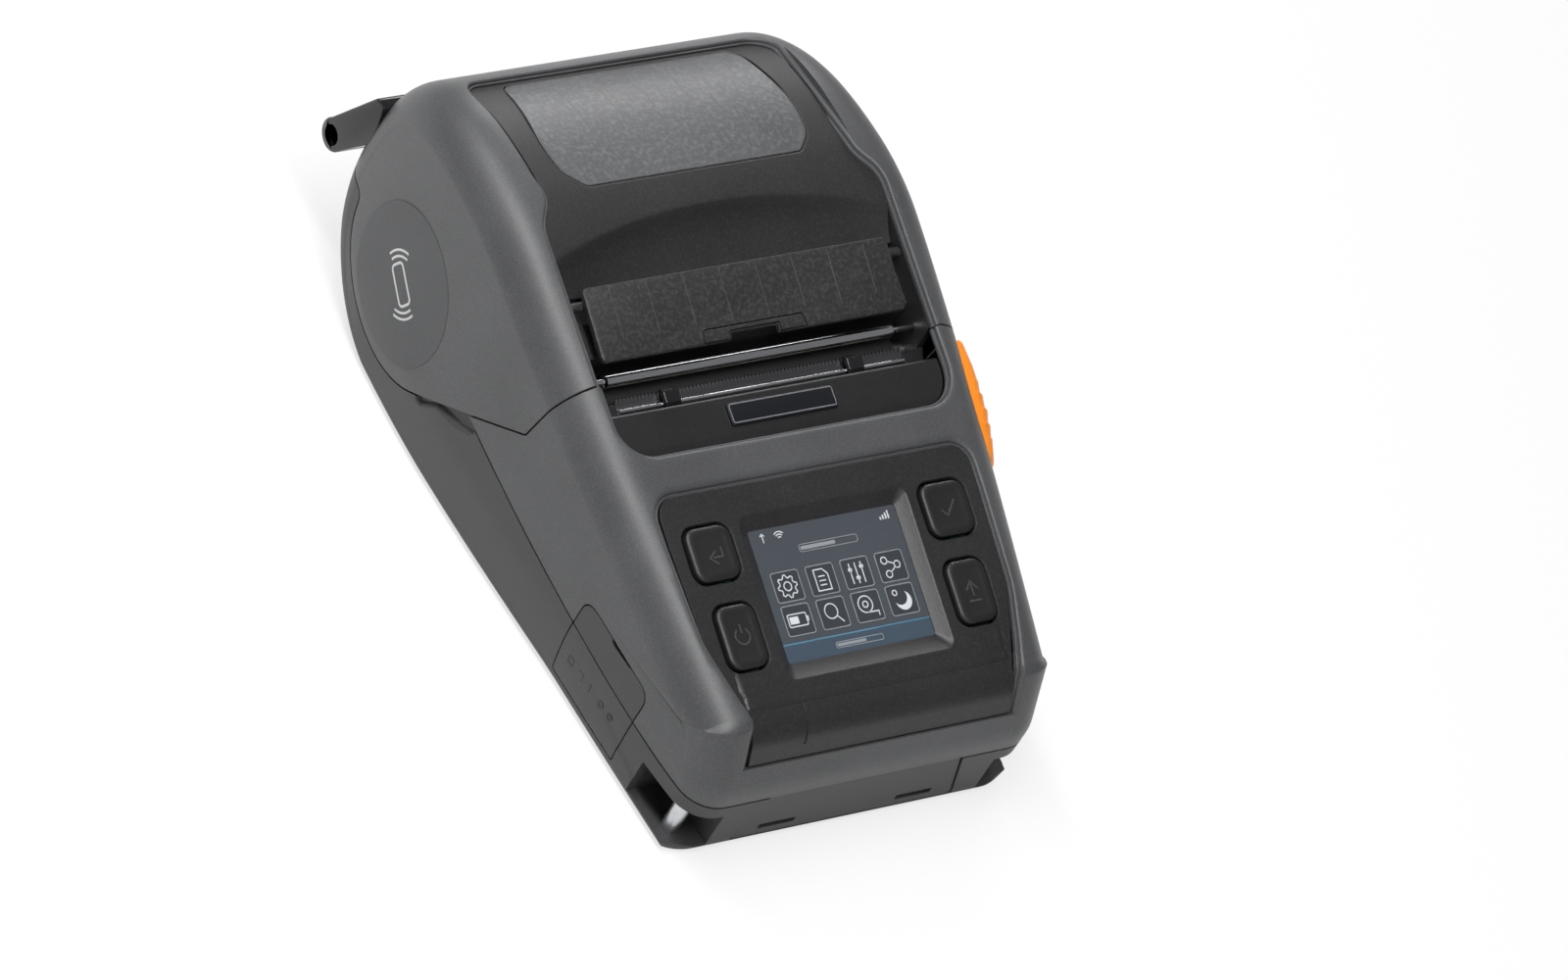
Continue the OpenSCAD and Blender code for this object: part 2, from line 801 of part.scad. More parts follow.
// Toothed outline with one tooth at the angle given
module gear_outline(teeth, at) {
    pitch_r = gear_module * teeth / 2;
    step = 360 / teeth;
    polygon([for (i = [0:teeth - 1], q = [[-0.3, -1.15], [-0.1, 0.8], [0.1, 0.8], [0.3, -1.15]])
        (pitch_r + q[1] * gear_module) * heading(at + (i + q[0]) * step)]);
}

module gear(teeth, u, z, at, x0, x1, bore) {
    difference() {
        across(x0, x1) translate([u, z]) gear_outline(teeth, at);
        rod(x0 - 1, x1 + 1, u, z, bore);
    }
}

module platen_gear() {
    color("#e6e3d8") place()
        gear(platen_teeth, platen_u, platen_z, idler_deg, gear_x0, gear_x1, shaft_r);
}

module idler_gear() {
    color("#e6e3d8") place() gear(idler_teeth, idler_u, idler_z,
        idler_deg + 180 + 180 / idler_teeth, gear_x0, gear_x1, idler_post_r + run_gap);
}

// Turn of the pinion so that a gap faces the idler's nearest tooth
idler_step = 360 / idler_teeth;
idler_lead = (pinion_deg - (idler_deg + 180 + 180 / idler_teeth)) / idler_step;
idler_miss = (idler_lead - round(idler_lead)) * idler_step;
pinion_at = pinion_deg + 180 + 180 / pinion_teeth + idler_miss * idler_teeth / pinion_teeth;

module motor_pinion() {
    color(metal) place() {
        across(gear_x0 + 0.5, gear_x1) translate([pinion_u, pinion_z])
            gear_outline(pinion_teeth, pinion_at);
        rod(gear_x1 - 0.5, motor_x0 + 3.5, pinion_u, pinion_z, pinion_shaft_r);
    }
}

module platen_roller() {
    color(black) place() difference() {
        rod(-platen_len / 2, platen_len / 2, platen_u, platen_z, platen_r);
        rod(-platen_len, platen_len, platen_u, platen_z, shaft_r);
    }
}

module platen_shaft() {
    color(metal) place() rod(gear_x0, plate_x1 + 1.2, platen_u, platen_z, shaft_r);
}

// Cover side plates that carry the platen, the peel rod and the flap
frame_ring_r = 6.2;
rod_u = platen_u + 0.6;
rod_z = lip_z - 6.1;
rod_len = recess_w - 12.4;
flap_deg = deck_deg + 4.4;
flap_t = 1.6;
flap_low_u = rod_u + 1;
flap_low_z = lip_z;
flap_pin_back = 3.4;
flap_pin_r = 1.2;
flap_pin_sink = flap_t + flap_pin_r + 0.1;
flap_pin_u = flap_low_u + (flap_len - flap_pin_back) * cos(flap_deg) + flap_pin_sink * sin(flap_deg);
flap_pin_z = flap_low_z + (flap_len - flap_pin_back) * sin(flap_deg) - flap_pin_sink * cos(flap_deg);
scoop_u = roll_u - 32.5;
scoop_z = body_h + 3;
scoop_r = 15;
scoop_bow_r = 161;

module cover_frame() {
    color(black) place() difference() {
        union() {
            intersection() {
                body_form(wall);
                union() {
                    both_sides() across(plate_x0, plate_x1) difference() {
                        union() {
                            translate([platen_u, platen_z]) circle(frame_ring_r);
                            polygon([[cover_lip_u + 0.6, platen_z + 4], [cover_lip_u + 0.6, big],
                                [plate_end_u, big], [plate_end_u - 3, lip_z - 3.4],
                                [platen_u + 20, lip_z - 8.4], [platen_u + 5, platen_z - 2]]);
                        }
                    }
                }
            }
            across(-plate_x0, plate_x0) polygon([[platen_u + 5.6, rod_z - 1.7],
                [platen_u + 5.4, rod_z + 2.3], [platen_u + 13, scoop_z - scoop_r - 2],
                [scoop_u + 4, scoop_z - scoop_r - 2], [scoop_u + 4, scoop_z - scoop_r - 4],
                [platen_u + 9, rod_z - 0.7], [platen_u + 8, rod_z - 6.3], [platen_u + 6, rod_z - 6.3]]);
        }
        both_sides() rod(plate_x0 - 1, plate_x1 + 1, platen_u, platen_z, shaft_r + run_gap);
        both_sides() rod(plate_x0 - 1, plate_x1 + 1, rod_u, rod_z, rod_r / 2);
        both_sides() rod(plate_x0 - 1, plate_x1 + 1, flap_pin_u, flap_pin_z, flap_pin_r + run_gap);
    }
}

module peel_rod() {
    color("#d8dadd") place() {
        rod(-rod_len / 2, rod_len / 2, rod_u, rod_z, rod_r);
        rod(-plate_x1, plate_x1, rod_u, rod_z, rod_r / 2);
    }
}

// Peeler flap: graduated strip on two pins, with a catch notch in its lower edge
module on_flap() {
    translate([0, flap_low_u, flap_low_z]) rotate([flap_deg, 0, 0]) children();
}

grad_pitch = 10;

module peeler_flap() {
    color(black) place() difference() {
        union() {
            on_flap() translate([0, 0, -flap_t]) linear_extrude(flap_t) difference() {
                rounded(1) translate([-flap_w / 2, 0]) square([flap_w, flap_len]);
                square([13, 3.4], center = true);
            }
            both_sides() rod(flap_w / 2 - 5, plate_x1 - 0.2, flap_pin_u, flap_pin_z, flap_pin_r);
            both_sides() across(flap_w / 2 - 4, flap_w / 2) hull() {
                translate([flap_pin_u, flap_pin_z]) circle(flap_pin_r + 0.7);
                translate([flap_pin_u + 1.1, flap_pin_z + 2.2]) circle(0.5);
                translate([flap_pin_u - 2.4, flap_pin_z + 1.2]) circle(0.5);
            }
        }
        on_flap() for (i = [-3.5:3.5]) translate([i * grad_pitch - 0.15, 3, -0.2])
            cube([0.3, flap_len - 6, 1]);
    }
}

// Cover shell, centre panel with its scoop, and the paper window
recess_end_u = roll_u + 25;
plate_end_u = roll_u - 11.5;
wave_u = roll_u - 15.5;
wave_run = 6.4;
wave_r = 9;
panel_corner_r = 5;
window_u0 = roll_u - 9.8;
window_u1 = roll_u + 23.6;
window_front_w = window_w - 11;
window_rear_w = window_w - 6.6;

module recess_plan() {
    side = [[recess_w / 2, cover_lip_u - 20], [recess_w / 2, wave_u - wave_run / 2],
        [panel_w / 2, wave_u + wave_run / 2], [panel_w / 2, recess_end_u]];
    softened(wave_r) rounded(panel_corner_r)
        polygon([for (s = [1, -1], p = s > 0 ? side : backwards(side)) [s * p.x, p.y]]);
}

module window_plan() {
    rounded(2.5) polygon([[-window_front_w / 2, window_u0], [window_front_w / 2, window_u0],
        [window_w / 2 - 1.2, window_u0 + 4.5], [window_w / 2, window_u0 + 12],
        [window_rear_w / 2, window_u1], [-window_rear_w / 2, window_u1],
        [-window_w / 2, window_u0 + 12], [-window_w / 2 + 1.2, window_u0 + 4.5]]);
}

module cover_shell() {
    color(light_grey) place() difference() {
        intersection() {
            skin(0, wall);
            cover_zone();
        }
        upright(roll_z, big) recess_plan();
    }
}

module scoop_ring(r) {
    translate([0, scoop_u + scoop_r - scoop_bow_r - 0.8, scoop_z]) rotate([0, 0, 45])
        rotate_extrude(angle = 90) translate([scoop_bow_r - scoop_r + 0.8, 0]) circle(r, $fn = 40);
}

module centre_panel() {
    scoop_front_u = scoop_u + 0.2;
    panel_skin_t = 2;
    flange_w = 2.5;
    color(black) place() difference() {
        union() {
            intersection() {
                skin(panel_drop, panel_drop + panel_skin_t);
                upright(roll_z, big) intersection() {
                    recess_plan();
                    translate([-big / 2, scoop_front_u]) square(big);
                }
            }
            intersection() {
                skin(wall, panel_drop + panel_skin_t);
                upright(roll_z, big) difference() {
                    offset(delta = flange_w) recess_plan();
                    translate([-big / 2, plate_end_u - big]) square(big);
                }
            }
            intersection() {
                body_form(panel_drop);
                scoop_ring(scoop_r + panel_skin_t);
                upright(roll_z, big) translate([-recess_w / 2, scoop_front_u]) square([recess_w, 22]);
            }
        }
        scoop_ring(scoop_r);
        upright(roll_z, big) window_plan();
    }
}

module window() {
    window_t = 1.6;
    color("#6f7377") place() intersection() {
        skin(panel_drop + 0.1, panel_drop + 0.1 + window_t);
        upright(roll_z, big) window_plan();
    }
}

// Hinge at the rear: two arms on the cover, one bracket on the lower housing, one pin
arm_w = 17;
hinge_gap = 0.4;
arm_root_z = roll_z + 9;

module hinge_arms() {
    color(black) place() difference() {
        both_sides() across(hinge_len / 2 - arm_w, hinge_len / 2) hull() {
            translate([hinge_u, hinge_z]) circle(knuckle_r);
            translate([body_len - 3, arm_root_z]) square([2, 6], center = true);
            translate([body_len - 1.6, arm_root_z + 1.4]) circle(1.6);
        }
        body_form(0);
        rod(-hinge_len, hinge_len, hinge_u, hinge_z, hinge_pin_r + run_gap);
    }
}

module hinge_bracket() {
    half = hinge_len / 2 - arm_w - hinge_gap;
    color(black) place() difference() {
        across(-half, half) hull() {
            translate([hinge_u, hinge_z]) circle(knuckle_r);
            translate([body_len - 7, seam_rear_z - 12]) square([2, 5], center = true);
            translate([body_len - 3, seam_rear_z - 8]) circle(2);
        }
        body_form(0);
        rod(-hinge_len, hinge_len, hinge_u, hinge_z, hinge_pin_r);
    }
}

module hinge_pin() {
    color(metal) place() rod(-hinge_len / 2 - 0.6, hinge_len / 2 + 0.6, hinge_u, hinge_z, hinge_pin_r);
}

// Chassis that carries the print head behind the outlet
head_u = platen_u - platen_r - 0.5;
head_t = 3;
head_w = recess_w - 10;
head_h = 12;
head_z = bar_z0 - frame_t - 0.8 - head_h;
sink_t = 1.8;
fin_len = 3.6;
fins = 11;
fin_t = 1.2;
wall_u = head_u - head_t - sink_t - fin_len - 2.4;
lever_u = platen_u - 8.2;
lever_z = platen_z - 12.5;
chassis_end_u = platen_u + 11.8;
lever_r = 1.5;

module print_chassis() {
    color("#2a2b2e") place() {
        upright(chassis_z, chassis_z + 1.6) translate([-cheek_x - cheek_t, wall_u])
            square([2 * (cheek_x + cheek_t), chassis_end_u - wall_u]);
        both_sides() across(cheek_x, cheek_x + cheek_t) polygon([[wall_u, chassis_z + 1],
            [chassis_end_u - 2, chassis_z + 1], [platen_u, platen_z - 10.5], [head_u + 0.4, platen_z - 6.5],
            [head_u - 0.6, platen_z + 2.5], [wall_u, platen_z - 1.5]]);
        across(-cheek_x - 0.5, cheek_x + 0.5) translate([wall_u, chassis_z + 1])
            square([1.4, platen_z - chassis_z - 4.3]);
        rod(cheek_x + 1, cheek_x + cheek_t + 3, lever_u, lever_z, lever_r);
    }
}

module print_head() {
    color("#cfc9b8") place() {
        translate([-head_w / 2, head_u - head_t, head_z]) cube([head_w, head_t, head_h]);
    }
}

module heat_sink() {
    sink_u = head_u - head_t - sink_t;
    color(metal) place() {
        translate([-cheek_x, sink_u, head_z - 8]) cube([2 * cheek_x, sink_t, head_h + 7.6]);
        for (i = [0:fins - 1])
            translate([(i / (fins - 1) - 0.5) * (head_w - 6) - fin_t / 2, sink_u - fin_len, head_z - 6])
                cube([fin_t, fin_len + 0.2, head_h + 4]);
    }
}

spring_w = 24;

module head_spring() {
    t = 0.4;
    spring_u = wall_u + 1.4;
    reach = head_u - head_t - sink_t - fin_len - spring_u;
    color(metal) place() across(-spring_w / 2, spring_w / 2) translate([spring_u, platen_z - 7.5])
        polygon([[0, -5], [reach - t, 0], [0, 5], [t, 5.2], [reach, 0], [t, -5.2]]);
}

// Metal plate on the left cheek with the idler post and the motor
pillars = [[platen_u - 12.2, chassis_z + 4.8], [platen_u - 5.2, chassis_z + 7.8]];

module gear_plate() {
    color(metal) place() difference() {
        union() {
            across(plate_out_x, plate_out_x + 1) hull() {
                translate([pinion_u, pinion_z]) square(motor_size, center = true);
                translate([idler_u, idler_z]) circle(5);
                translate(pillars[1]) circle(3);
            }
            rod(post_end_x, plate_out_x + 0.5, idler_u, idler_z, idler_post_r);
            for (p = pillars)
                rod(plate_out_x + 0.5, -cheek_x - cheek_t, p.x, p.y, 2);
        }
        rod(plate_out_x - 1, plate_out_x + 2, pinion_u, pinion_z, 3);
    }
}

module stepper_motor() {
    color("#8f9398") place() difference() {
        across(motor_x0, motor_x0 + motor_len) translate([pinion_u, pinion_z])
            rounded(3) square(motor_size - 0.4, center = true);
        rod(motor_x0 - 1, motor_x0 + 4, pinion_u, pinion_z, pinion_shaft_r + run_gap);
    }
}

// Half-round tub for the roll, with its end walls and the ramp to the platen
module media_tub() {
    color(black) place() {
        difference() {
            rod(-tub_w / 2, tub_w / 2, roll_u, roll_z, tub_r + tub_t);
            rod(-tub_w / 2 + tub_t, tub_w / 2 - tub_t, roll_u, roll_z, tub_r);
            translate([-big / 2, 0, roll_z]) cube(big);
        }
        across(-tub_w / 2 + tub_t, tub_w / 2 - tub_t) polygon([
            [roll_u - tub_r, roll_z - 3], [roll_u - tub_r, roll_z], [ramp_u, ramp_top_z],
            [ramp_u, ramp_top_z - tub_t], [roll_u - tub_r - tub_t / 2, roll_z - 2]]);
    }
}

module label_sensor() {
    u = platen_u + 8;
    color("#101114") place() across(-7, 7) polygon([[u, ramp_z(u)], [u + 5, ramp_z(u + 5)],
        [u + 5, ramp_z(u) + 1.6], [u, ramp_z(u) + 1.6]]);
}
ramp_u = platen_u + 4.4;
ramp_top_z = platen_z - 7.7;
function ramp_z(u) =
    roll_z + (ramp_top_z - roll_z) * (roll_u - tub_r - u) / (roll_u - tub_r - ramp_u);

module battery_contacts() {
    u = battery_u + battery_len + 0.4;
    color("#c8a24a") place() {
        translate([-10, u + 0.8, battery_z + 3]) cube([20, 0.8, 7]);
        for (i = [-1.5:1.5]) translate([i * 4.4 - 1, u, battery_z + 4]) cube([2, 0.9, 5]);
    }
}

// Battery pack and its sprung thumb latch
latch_w = 12;
latch_u = 1.6;
latch_t = 2.4;
latch_h = 6;
latch_travel = 1.6;

module battery_pack() {
    color(dark_grey) place() difference() {
        translate([0, battery_u + battery_len, battery_z]) rotate([90, 0, 0])
            linear_extrude(battery_len) rounded(1) battery_outline();
        translate([-latch_w / 2 - 0.3, battery_u + latch_u - 0.3, battery_z + battery_h - latch_h - latch_travel - 0.4])
            cube([latch_w + 0.6, latch_t + 0.6, 20]);
        both_sides() translate([14, battery_u - 1, battery_z + 2]) cube([10, 1.8, 1.6]);
    }
}

module battery_latch() {
    color(black) place() translate([-latch_w / 2, battery_u + latch_u, battery_z + battery_h - latch_h])
        difference() {
            cube([latch_w, latch_t, latch_h + 0.2]);
            translate([2, -1, latch_h - 1.8]) cube([latch_w - 4, 1.8, 1]);
        }
}

// Hook behind the release button, turning on a stub on the right cheek
module cover_latch() {
    x0 = cheek_x + cheek_t + 0.4;
    color(metal) place() difference() {
        across(x0, x0 + 1.6) difference() {
            union() {
                hull() {
                    translate([lever_u, lever_z]) circle(3.6);
                    translate([platen_u - 6, platen_z - 4]) circle(2.4);
                }
                hull() {
                    translate([platen_u - 6, platen_z - 4]) circle(2.4);
                    translate([platen_u - 3.8, platen_z + 1.6]) circle(1.2);
                }
            }
            translate([platen_u, platen_z]) circle(shaft_r + 0.5);
        }
        rod(x0 - 1, x0 + 3, lever_u, lever_z, lever_r + run_gap);
    }
}

// Paper holders that slide apart together
hub_r = 5.9;
hub_len = 4.5;
holder_t = 3;
foot_w = 18;
foot_gap = 0.4;
holder_span = tub_w - 2 * (tub_t + holder_t + holder_travel + 0.6);

module holder() {
    x0 = holder_span / 2;
    rod(x0, x0 + holder_t, roll_u, roll_z, holder_r);
    rod(x0 - hub_len, x0 + 0.5, roll_u, roll_z, hub_r);
    intersection() {
        across(x0 - 6, x0 + holder_t) translate([roll_u - foot_w / 2, 0]) square([foot_w, roll_z]);
        difference() {
            rod(x0 - 6, x0 + holder_t, roll_u, roll_z, tub_r - foot_gap);
            rod(x0 - 7, x0, roll_u, roll_z, tub_r - foot_gap - 1.6);
        }
    }
}

module holder_right() {
    color(black) place() holder();
}

module holder_left() {
    color(black) place() mirror([1, 0, 0]) holder();
}

lower_housing();
front_housing();
display_panel();
lcd_module();
lcd_glass();
key_board();
key_switches();
main_board();
usb_socket();
power_jack();
port_cover();
port_cover_pin();
strap_pin_left();
strap_pin_right();
outlet_frame();
badge_plate();
tear_bar();
bar_clip_left();
bar_clip_right();
print_chassis();
print_head();
heat_sink();
head_spring();
gear_plate();
stepper_motor();
media_tub();
label_sensor();
battery_contacts();
hinge_bracket();
hinge_pin();
key_back();
key_confirm();
key_power();
key_feed();
release_button();
cover_latch();
battery_pack();
battery_latch();
holder_left();
holder_right();
cover_shell();
centre_panel();
window();
cover_frame();
hinge_arms();
peel_rod();
peeler_flap();
platen_roller();
platen_shaft();
platen_gear();
idler_gear();
motor_pinion();
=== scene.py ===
import math
import bpy
import numpy as np
from mathutils import Matrix, Vector


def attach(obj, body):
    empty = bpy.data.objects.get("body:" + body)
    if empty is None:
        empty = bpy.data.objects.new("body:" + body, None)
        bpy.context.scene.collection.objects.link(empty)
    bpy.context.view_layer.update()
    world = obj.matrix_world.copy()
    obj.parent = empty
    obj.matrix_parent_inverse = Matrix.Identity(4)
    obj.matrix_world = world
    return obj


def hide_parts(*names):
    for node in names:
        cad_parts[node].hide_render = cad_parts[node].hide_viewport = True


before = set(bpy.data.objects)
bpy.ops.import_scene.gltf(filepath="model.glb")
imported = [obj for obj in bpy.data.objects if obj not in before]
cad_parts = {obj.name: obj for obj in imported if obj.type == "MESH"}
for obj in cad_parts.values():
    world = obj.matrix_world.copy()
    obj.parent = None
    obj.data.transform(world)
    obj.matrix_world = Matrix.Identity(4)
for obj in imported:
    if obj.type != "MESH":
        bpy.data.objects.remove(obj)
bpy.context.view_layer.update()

# Lengths are in mm and angles in degrees: x across, u behind the front face, z up
form = dict(
    length=175.5, height=73.0, width=114.4, frontWidth=96.1, rearWidth=103.5, widestU=112.0,
    bellyR=37.0, crownU=121.1, noseH=37.2, chinH=21.0, chinDeg=23.0, crownR=70.0, shoulderPower=2.7,
    toeR=3.0, chinR=10.0, noseR=5.0, swellPower=1.46, waistH=18.0, tuck=2.9, tuckRun=52.0,
    wall=2.2, edgeR=12.5, edgeDeg=70, blendR=3.0, blendDeg=86, midU=92.65)
# Edge radius and the angle at which its arc ends, over the outward angle of the side outline
edgeAngles = [-90, -30, 60, 110, 150, 200, 270]
edgeRadii = [3.5, 10, form["edgeR"], form["edgeR"], 9, 9, 3.5]
edgeEndAngles = [-90, -30, 30, 110, 150, 270]
edgeEnds = [88, 80, form["edgeDeg"], form["edgeDeg"], 80, 88]
rollU = form["length"] - form["bellyR"]
rollZ = form["bellyR"]
noseU = (form["noseH"] - form["chinH"]) * math.tan(math.radians(form["chinDeg"]))
crownU = form["crownU"]
deckRise = (form["height"] - form["noseH"]) / (crownU - noseU)
deckDeg = math.degrees(math.atan(deckRise))
crownEndU = crownU + form["crownR"] * math.tan(math.radians(deckDeg / 2))


def metres(points):  # (x, u, z) in mm to the shared frame
    p = np.asarray(points, float).copy()
    p[..., 1] -= form["midU"]
    return p * 0.001


def deckZ(u):  # straight line that rises from the nose edge
    return form["noseH"] + (np.asarray(u) - noseU) * deckRise


def softMax(q, ease):  # rounded max(q, 0)
    return 0.5 * (q + np.sqrt(q * q + ease * ease))


def sideX(u):  # half width: a power curve before the widest place, a parabola behind it
    u = np.asarray(u, float)
    w = form["widestU"]
    before = (form["width"] - form["frontWidth"]) / 2 * np.abs((w - np.minimum(u, w)) / w) ** form["swellPower"]
    behind = (form["width"] - form["rearWidth"]) / 2 * ((np.maximum(u, w) - w) / (form["length"] - w)) ** 2
    return form["width"] / 2 - before - behind


def halfWidth(u, z):  # side width less the tuck near the base
    near = 1 - softMax(1 - np.asarray(u) / form["tuckRun"], 0.08)
    low = softMax(1 - np.asarray(z) / form["waistH"], 0.12)
    return sideX(u) - form["tuck"] * near * low


def bend(corner, a0, a1, r, n):  # arc of radius r between two faces that meet at a corner
    mid, half = np.radians((a0 + a1) / 2), np.radians((a0 - a1) / 2)
    a = np.linspace(a0, a1, n + 1)
    hub = np.array(corner) - r / math.cos(half) * np.array([math.cos(mid), math.sin(mid)])
    return np.stack([hub[0] + r * np.cos(np.radians(a)), hub[1] + r * np.sin(np.radians(a)), a], -1)


def sideOutline():  # closed side outline (u, z, outward angle), evened out by length and by turn
    f = form
    t = np.radians(90 * np.linspace(1, 0, 160))
    k = 2 / f["shoulderPower"]
    a, b = f["length"] - crownEndU, f["height"] - rollZ
    c, s = np.maximum(np.cos(t), 0), np.maximum(np.sin(t), 0)
    shoulder = np.stack([crownEndU + a * c ** k, rollZ + b * s ** k,
                         np.degrees(np.arctan2(s ** (2 - k) / b, c ** (2 - k) / a))], -1)
    down = np.radians(np.linspace(-1, -90, 60))
    belly = np.stack([rollU + f["bellyR"] * np.cos(down), rollZ + f["bellyR"] * np.sin(down), np.degrees(down)], -1)
    deckU = np.linspace(noseU + 5, crownU - 14, 40)
    deck = np.stack([deckU, deckZ(deckU), np.full(40, 90 + deckDeg)], -1)
    rows = np.concatenate([
        bend((0, 0), 270, 180, f["toeR"], 10), bend((0, f["chinH"]), 180, 180 - f["chinDeg"], f["chinR"], 10),
        bend((noseU, f["noseH"]), 180 - f["chinDeg"], 90 + deckDeg, f["noseR"], 10), deck,
        bend((crownU, f["height"]), 90 + deckDeg, 90, f["crownR"], 20), shoulder, belly,
        [[f["toeR"], 0, -90]]])
    step = np.diff(rows, axis=0)
    cost = np.r_[0, np.cumsum(np.hypot(step[:, 0], step[:, 1]) / 1.8 + np.abs(step[:, 2]) / 4)]
    keep = np.linspace(0, cost[-1], int(cost[-1]) + 1)[:-1]
    return np.stack([np.interp(keep, cost, rows[:, i]) for i in range(3)], -1)


outline = sideOutline()
hubPoint = np.array([100.0, 30.0])  # (u, z) inside the body, which every ray of the side faces runs to


def untangled(eu, ez):
    # Offset lines cross themselves at tight corners. There each point moves to the
    # nearest crossing of its ray from the hub point, which is the inner envelope.
    v = dict(fold=1e-7, order=1e-5, tiny=1e-9, far=1e9)
    start = int(np.argmax(outline[:, 0]))
    made = np.roll(np.stack([eu, ez], -1), -start, 0)
    n = len(made)
    for j in range(made.shape[1]):
        p = made[:, j] - hubPoint
        turn = np.unwrap(np.arctan2(p[:, 1], p[:, 0]))
        sense = np.sign(turn[-1] - turn[0])
        turn = turn * sense
        most, least = np.maximum.accumulate(turn), np.minimum.accumulate(turn[::-1])[::-1]
        folded = np.nonzero(most - least > v["fold"])[0]
        if not len(folded):
            continue
        want = ((most + least) / 2 + v["order"] * np.arange(n) / n)[folded, None]
        ahead = np.append(turn[1:], turn[0] + 2 * math.pi)[None, :]
        step = np.roll(p, -1, 0) - p
        c, t = np.cos(want * sense), np.sin(want * sense)
        hit = (want >= np.minimum(turn, ahead)) & (want <= np.maximum(turn, ahead))
        base = c * step[:, 1] - t * step[:, 0]
        base = np.where(np.abs(base) < v["tiny"], v["tiny"], base)
        reach = (p[:, 0] * step[:, 1] - p[:, 1] * step[:, 0]) / base
        reach = np.where(hit & (reach > 0), reach, v["far"]).min(1)
        good = reach < v["far"]
        ray = np.column_stack([c[:, 0], t[:, 0]])
        made[folded[good], j] = hubPoint + (reach[:, None] * ray)[good]
    made = np.roll(made, start, 0)
    return made[..., 0], made[..., 1]


def bodyPoints(depth):
    # One closed row round the body for each outline point: side face, edge arc, top, edge arc, side face.
    # The edge arc turns through angle f, then a small arc eases it into the side face.
    # The side face runs in to a hub point, with x from halfWidth and a fading correction at its rim.
    v = dict(leastR=0.3, leastBlend=0.2, top=25, side=20, sidePower=1.7, rimFade=11)
    u, z, a = outline.T
    r = np.maximum(np.interp(a, edgeAngles, edgeRadii) - depth, v["leastR"])[:, None]
    end = np.radians(np.interp(a, edgeEndAngles, edgeEnds))[:, None]
    last = math.radians(form["blendDeg"])
    r2 = max(form["blendR"] - depth, v["leastBlend"])
    half = (halfWidth(u, z) - depth)[:, None]
    first = np.linspace(0, 1, 13)[None, 1:] * end
    stop = np.maximum(last, end)
    easing = end + (stop - end) * np.linspace(0, 1, 5)[None, 1:]
    out1 = r * (np.sin(end) - np.sin(first)) + r2 * (np.sin(stop) - np.sin(end))
    out2 = r2 * (np.sin(stop) - np.sin(easing))
    sink1 = r * (1 - np.cos(first))
    sink2 = r * (1 - np.cos(end)) + r2 * (np.cos(end) - np.cos(easing))
    x = np.concatenate([half - out1, half - out2], 1)
    sink = depth + np.concatenate([sink1, sink2], 1)
    c, s = np.cos(np.radians(a))[:, None], np.sin(np.radians(a))[:, None]
    flatX = half - r * np.sin(end) - r2 * (np.sin(stop) - np.sin(end))
    eu, ez = untangled(u[:, None] - sink * c, z[:, None] - sink * s)
    top = flatX * np.linspace(-1, 1, v["top"])[None, :]
    tu = np.repeat(u[:, None] - depth * c, v["top"], 1)
    tz = np.repeat(z[:, None] - depth * s, v["top"], 1)
    t = (np.linspace(0, 1, v["side"])[1:-1] ** v["sidePower"])[None, :]
    su = eu[:, -1:] * (1 - t) + hubPoint[0] * t
    sz = ez[:, -1:] * (1 - t) + hubPoint[1] * t
    away = np.hypot(su - eu[:, -1:], sz - ez[:, -1:])
    rim = x[:, -1:] - (halfWidth(eu[:, -1:], ez[:, -1:]) - depth)
    sx = halfWidth(su, sz) - depth + rim * np.exp(-away / v["rimFade"])
    right = [np.concatenate(pair, 1) for pair in ((x, sx), (eu, su), (ez, sz))]
    rows = np.stack([np.concatenate([sign * q[:, ::-1], mid, q], 1)
                     for sign, mid, q in zip((-1, 1, 1), (top, tu, tz), right)], -1)
    poleX = float(halfWidth(*hubPoint)) - depth
    return rows, [(-poleX, *hubPoint), (poleX, *hubPoint)]


def gridFaces(rows, cols, loopRows=False, loopCols=False, start=0):  # quads between neighbouring grid points
    i, j = np.meshgrid(np.arange(rows - (not loopRows)), np.arange(cols - (not loopCols)), indexing="ij")
    i2, j2 = (i + 1) % rows, (j + 1) % cols
    return (start + np.stack([i * cols + j, i2 * cols + j, i2 * cols + j2, i * cols + j2], -1)).reshape(-1, 4)


scratch = []


def addObject(name, data):
    made = bpy.data.objects.new(name, data)
    bpy.context.scene.collection.objects.link(made)
    return made


def newObject(name, points, faces):
    # A closed mesh in the shared frame; faces are turned outwards by the sign of the volume
    points = metres(points)
    groups = [np.asarray(g, int).tolist() if not isinstance(g, list) else g for g in faces]
    flat = [f for g in groups for f in g]
    mesh = bpy.data.meshes.new(name)
    mesh.from_pydata(points.tolist(), [], flat)
    mesh.validate()
    mesh.calc_loop_triangles()
    tris = np.empty(len(mesh.loop_triangles) * 3, int)
    mesh.loop_triangles.foreach_get("vertices", tris)
    p = points[tris.reshape(-1, 3)]
    if np.einsum("ij,ij->i", p[:, 0], np.cross(p[:, 1], p[:, 2])).sum() < 0:
        mesh.flip_normals()
    return addObject(name, mesh)


def tool(name, points, faces):  # a solid used only for cutting, removed at the end
    made = newObject(name, points, faces)
    scratch.append(made)
    return made


def bodySolid(depth):
    rows, poles = bodyPoints(depth)
    n, m = rows.shape[:2]
    points = np.concatenate([rows.reshape(-1, 3), np.array(poles)])
    i = np.arange(n)
    left = np.stack([i * m, (i + 1) % n * m, np.full(n, n * m)], -1)
    right = np.stack([i * m + m - 1, (i + 1) % n * m + m - 1, np.full(n, n * m + 1)], -1)[:, ::-1]
    return tool("bodySolid", points, [gridFaces(n, m, loopRows=True), left[:, ::-1], right[:, ::-1]])


